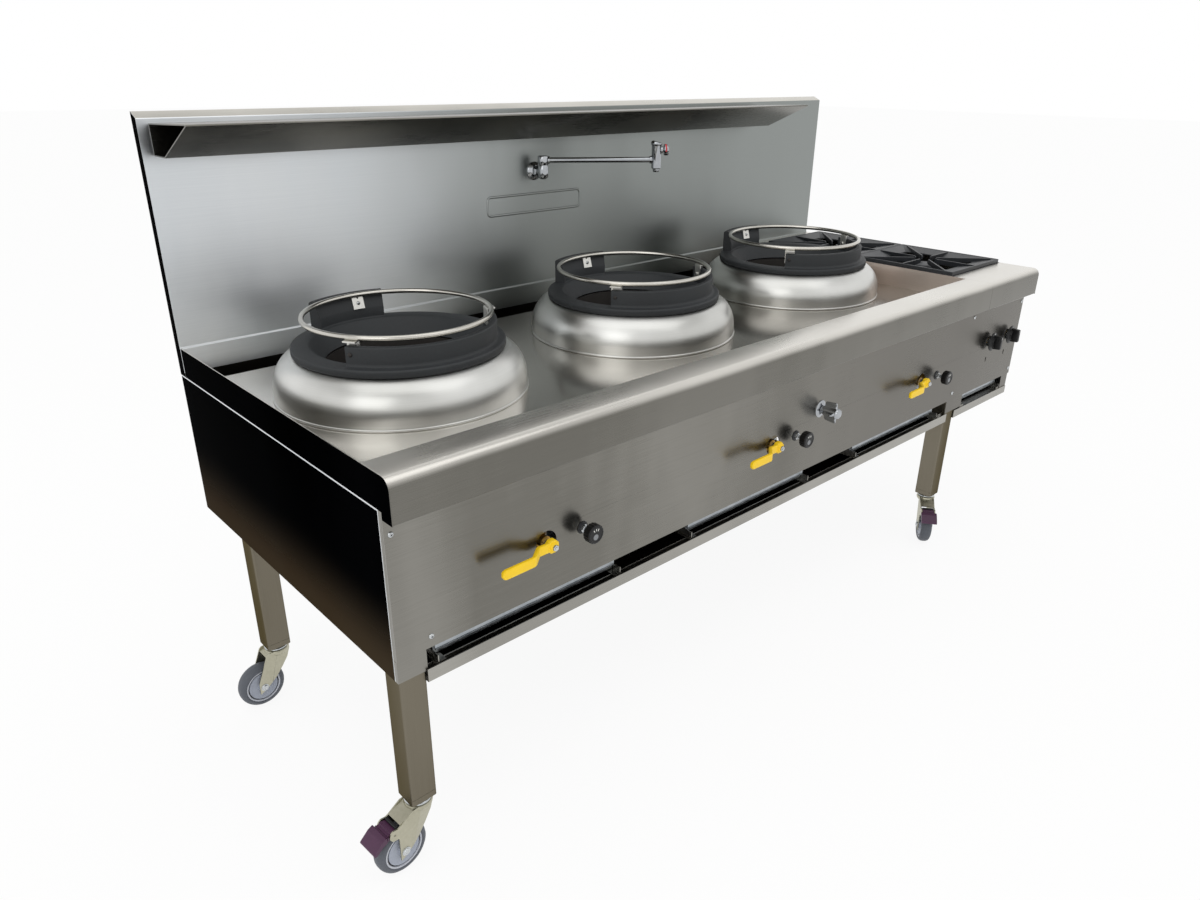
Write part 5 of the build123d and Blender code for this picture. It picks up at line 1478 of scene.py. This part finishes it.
def buildWheel(name, place):
    # a lathe about the axle: tyre, pale ring, dark groove and a shallow dished hub on each side
    trail, radius = caster["trail"], caster["radius"]
    half, inner = caster["tyre"]
    hub = caster["hub"]
    tyre = [(inner, -half + 2.5), (inner + 1, -half + 1.2), (radius - 9, -half),
            (radius - 5.5, -half + 1.4), (radius - 2.4, -half + 4.2), (radius - 0.7, -half + 8),
            (radius, -3), (radius, 3)]
    tyre += [(r, -y) for r, y in tyre[:-2][::-1]]
    lumps = [turned(tyre, axis=(0, 1, 0), steps=120)]
    bore = caster["axle"][0] + 0.1
    for side in (-1, 1):
        face = [(inner + 0.3, half - 4), (inner + 0.3, half - 2), (inner - 0.6, half - 1.6),
                (inner - 2.6, half - 2), (inner - 3, half - 4)]
        lumps.append(turned(face, axis=(0, side, 0), steps=96, finish=2))
        groove = [(inner - 3, hub - 3), (inner - 2.8, hub - 0.6), (inner - 5.2, hub - 0.6),
                  (inner - 5.4, hub - 3)]
        lumps.append(turned(groove, axis=(0, side, 0), steps=96, finish=3))
        disc = [(inner, 0), (inner, half - 4), (inner - 3, half - 4), (inner - 3, hub - 2),
                (inner - 5.4, hub - 2), (inner - 5.6, hub + 1.4), (inner - 6.8, hub + 2), (20, hub + 1),
                (12, hub + 1.4), (11, hub + 5.4), (bore + 1, hub + 5.5), (bore, hub + 4.5), (bore, 0)]
        lumps.append(turned(disc, axis=(0, side, 0), steps=96, finish=1))
    lumps = placed(placed(lumps, (trail, 0, radius)), place, casters[name])
    looks = ("tyreRubber", "hubPlastic", "hubPale", "blackPartsAndRecessShade")
    makePiece(f"casterWheel_{name}", lumps, looks, f"wheel_{name}", [f"caster_{name}_wheel"],
              crease=30)


def buildPedal(name, place):
    # stepped narrow part and a drooping wide flap, each an outline pushed across the fork
    x, z = caster["pivot"]
    narrow, wide = pedal["narrowHalf"], pedal["wideHalf"]
    steps = [(x - 4, z - 5), (x - 4, z + 7), (x + 3, z + 9), (x + 7, z + 8.4), (x + 8, z + 6.6),
             (x + 12, z + 6.4), (x + 13, z + 4.6), (x + 17, z + 4.4), (x + 22, z + 3), (x + 22, z - 5),
             (x + 8, z - 3)]
    flap = softened([(x + 16, z + 8.5), (x + 26, z + 4), (x + 43, z - 11), (x + 41, z - 17),
                     (x + 36, z - 16), (x + 24, z - 6), (x + 15, z - 3)], [2, 3, 3, 2.5, 2, 3, 2], 5)
    lumps = [pushed(steps, -narrow, narrow, "y"), pushed(flap, -wide, wide, "y")]
    for side in (-1, 1):
        for n in range(3):
            at = x + 1 + 5 * n
            rib = [(at, z - 3), (at + 3, z - 3), (at + 3, z + 5 - n), (at, z + 6 - n)]
            lumps.append(pushed(rib, side * (narrow - 0.5), side * (narrow + 2 + 0.8 * n), "y"))
    block = softened([(x - 9.5, z - 2), (x - 9.5, z + 10), (x - 4, z + 11), (x - 3.6, z - 3)], 1.2)
    lumps.append(pushed(block, -narrow + 0.6, narrow - 0.6, "y", 1))
    shoe = softened([(x + 21, z - 4), (x + 21, z - 14.5), (x + 30, z - 17), (x + 31, z - 9)], 1)
    lumps.append(pushed(shoe, -9, 9, "y", 1))
    reach = sum(caster["cheek"])
    lumps.append(rodLump((x, -reach, z), (x, reach, z), 3, finish=2))
    looks = ("purplePedal", "blackPartsAndRecessShade", "zinc")
    makePiece(f"brakePedal_{name}", placed(lumps, place, casters[name]), looks, f"brake_{name}",
              [f"brake_pedal_{name}"], bevel=0.7, bevelSteps=3)


for name, (x, y) in legPlaces.items():
    buildFork(name, (x, y, 0), name in ("fl", "fr"))
    buildWheel(name, (x, y, 0))
for name in ("fl", "fr"):
    buildPedal(name, (*legPlaces[name], 0))
print("casters made")


# The stage, the lamps and the camera.
stage = {
    "floorColour": "#fbfbfa",
    "floorReach": 30,
    "floorGlow": 0.9,  # the share of the floor's tone that no shadow reaches
    "plainLight": 0.82,
    "skyStops": [(0.0, 1.0), (0.55, 1.0), (0.75, 0.7), (1.0, 0.6)],
}


def seenRays(tree):
    # 1 for rays from the camera, and for those that metal or glass send out
    path = addNode(tree, "ShaderNodeLightPath").outputs
    mirrored = reckoned(tree, "ADD", path["Is Glossy Ray"], path["Is Transmission Ray"], clamp=True)
    return path["Is Camera Ray"], mirrored


def buildFloor():
    # a plain pale floor; where a camera or a mirror sees it, its own glow hides nearly all shadow
    reach = stage["floorReach"]
    corners = [(-reach, -reach, 0), (reach, -reach, 0), (reach, reach, 0), (-reach, reach, 0)]
    mesh = bpy.data.meshes.new("floor")
    mesh.from_pydata(corners, [], [(0, 1, 2, 3)])
    floor = bpy.data.objects.new("floor", mesh)
    bpy.context.scene.collection.objects.link(floor)
    finish, tree, shader = newFinish("paleStudioFloor", stage["floorColour"], 0, 0.8)
    share = reckoned(tree, "MULTIPLY", reckoned(tree, "ADD", *seenRays(tree), clamp=True),
                     stage["floorGlow"])
    glow = addNode(tree, "ShaderNodeEmission").outputs[0]
    shown = addNode(tree, "ShaderNodeMixShader", {0: share, 1: shader.outputs[0], 2: glow}).outputs[0]
    tree.links.new(shown, tree.nodes["Material Output"].inputs["Surface"])
    finish.cycles.emission_sampling = "NONE"
    mesh.materials.append(finish)


def buildWorld():
    # white behind the object, even light on it, and greyer overhead in what metal reflects
    world = bpy.data.worlds.new("studio")
    bpy.context.scene.world = world
    world.use_nodes = True
    tree = world.node_tree
    camera, mirrored = seenRays(tree)
    direction = addNode(tree, "ShaderNodeTexCoord").outputs["Generated"]
    parts = addNode(tree, "ShaderNodeSeparateXYZ", {0: direction})
    ramp = addNode(tree, "ShaderNodeValToRGB", {0: parts.outputs[2]})
    stops = stage["skyStops"]
    while len(ramp.color_ramp.elements) < len(stops):
        ramp.color_ramp.elements.new(0.5)
    for element, (position, level) in zip(ramp.color_ramp.elements, stops):
        element.position = position
        element.color = (level, level, level, 1)
    plain = (stage["plainLight"],) * 3 + (1,)
    shown = blended(tree, camera, blended(tree, mirrored, plain, ramp.outputs[0]), (1, 1, 1, 1))
    tree.links.new(shown, tree.nodes["Background"].inputs["Color"])


def addLamp(name, place, target, size, power):
    lamp = bpy.data.lights.new(name, "AREA")
    lamp.shape = "RECTANGLE"
    lamp.size, lamp.size_y = size
    lamp.energy = power
    holder = bpy.data.objects.new(name, lamp)
    bpy.context.scene.collection.objects.link(holder)
    holder.location = place
    holder.rotation_euler = (Vector(target) - Vector(place)).to_track_quat("-Z", "Y").to_euler()


buildFloor()
buildWorld()
addLamp("overheadSoftbox", (-0.5, -0.6, 3.6), (0, 0, 0.7), (4.2, 2.6), 28)
addLamp("leftSoftbox", (-3.6, -1.6, 2.6), (-0.4, 0, 0.7), (2.2, 2.4), 16)

view = {
    "place": (-1.514984, -1.368263, 1.261919),
    "angles": (66.26027, -0.48855, -42.575234),
    "lens": 25.977,
    "sensor": 36,
    "reach": 200,
}
shot = bpy.data.cameras.new("photoView")
shot.sensor_width = view["sensor"]
shot.lens = view["lens"]
shot.clip_end = view["reach"]
camera = bpy.data.objects.new("photoView", shot)
bpy.context.scene.collection.objects.link(camera)
camera.location = view["place"]
camera.rotation_euler = Euler(np.radians(view["angles"]))
bpy.context.scene.camera = camera
bpy.context.scene.view_settings.view_transform = "Standard"
print("stage, lamps and camera made")
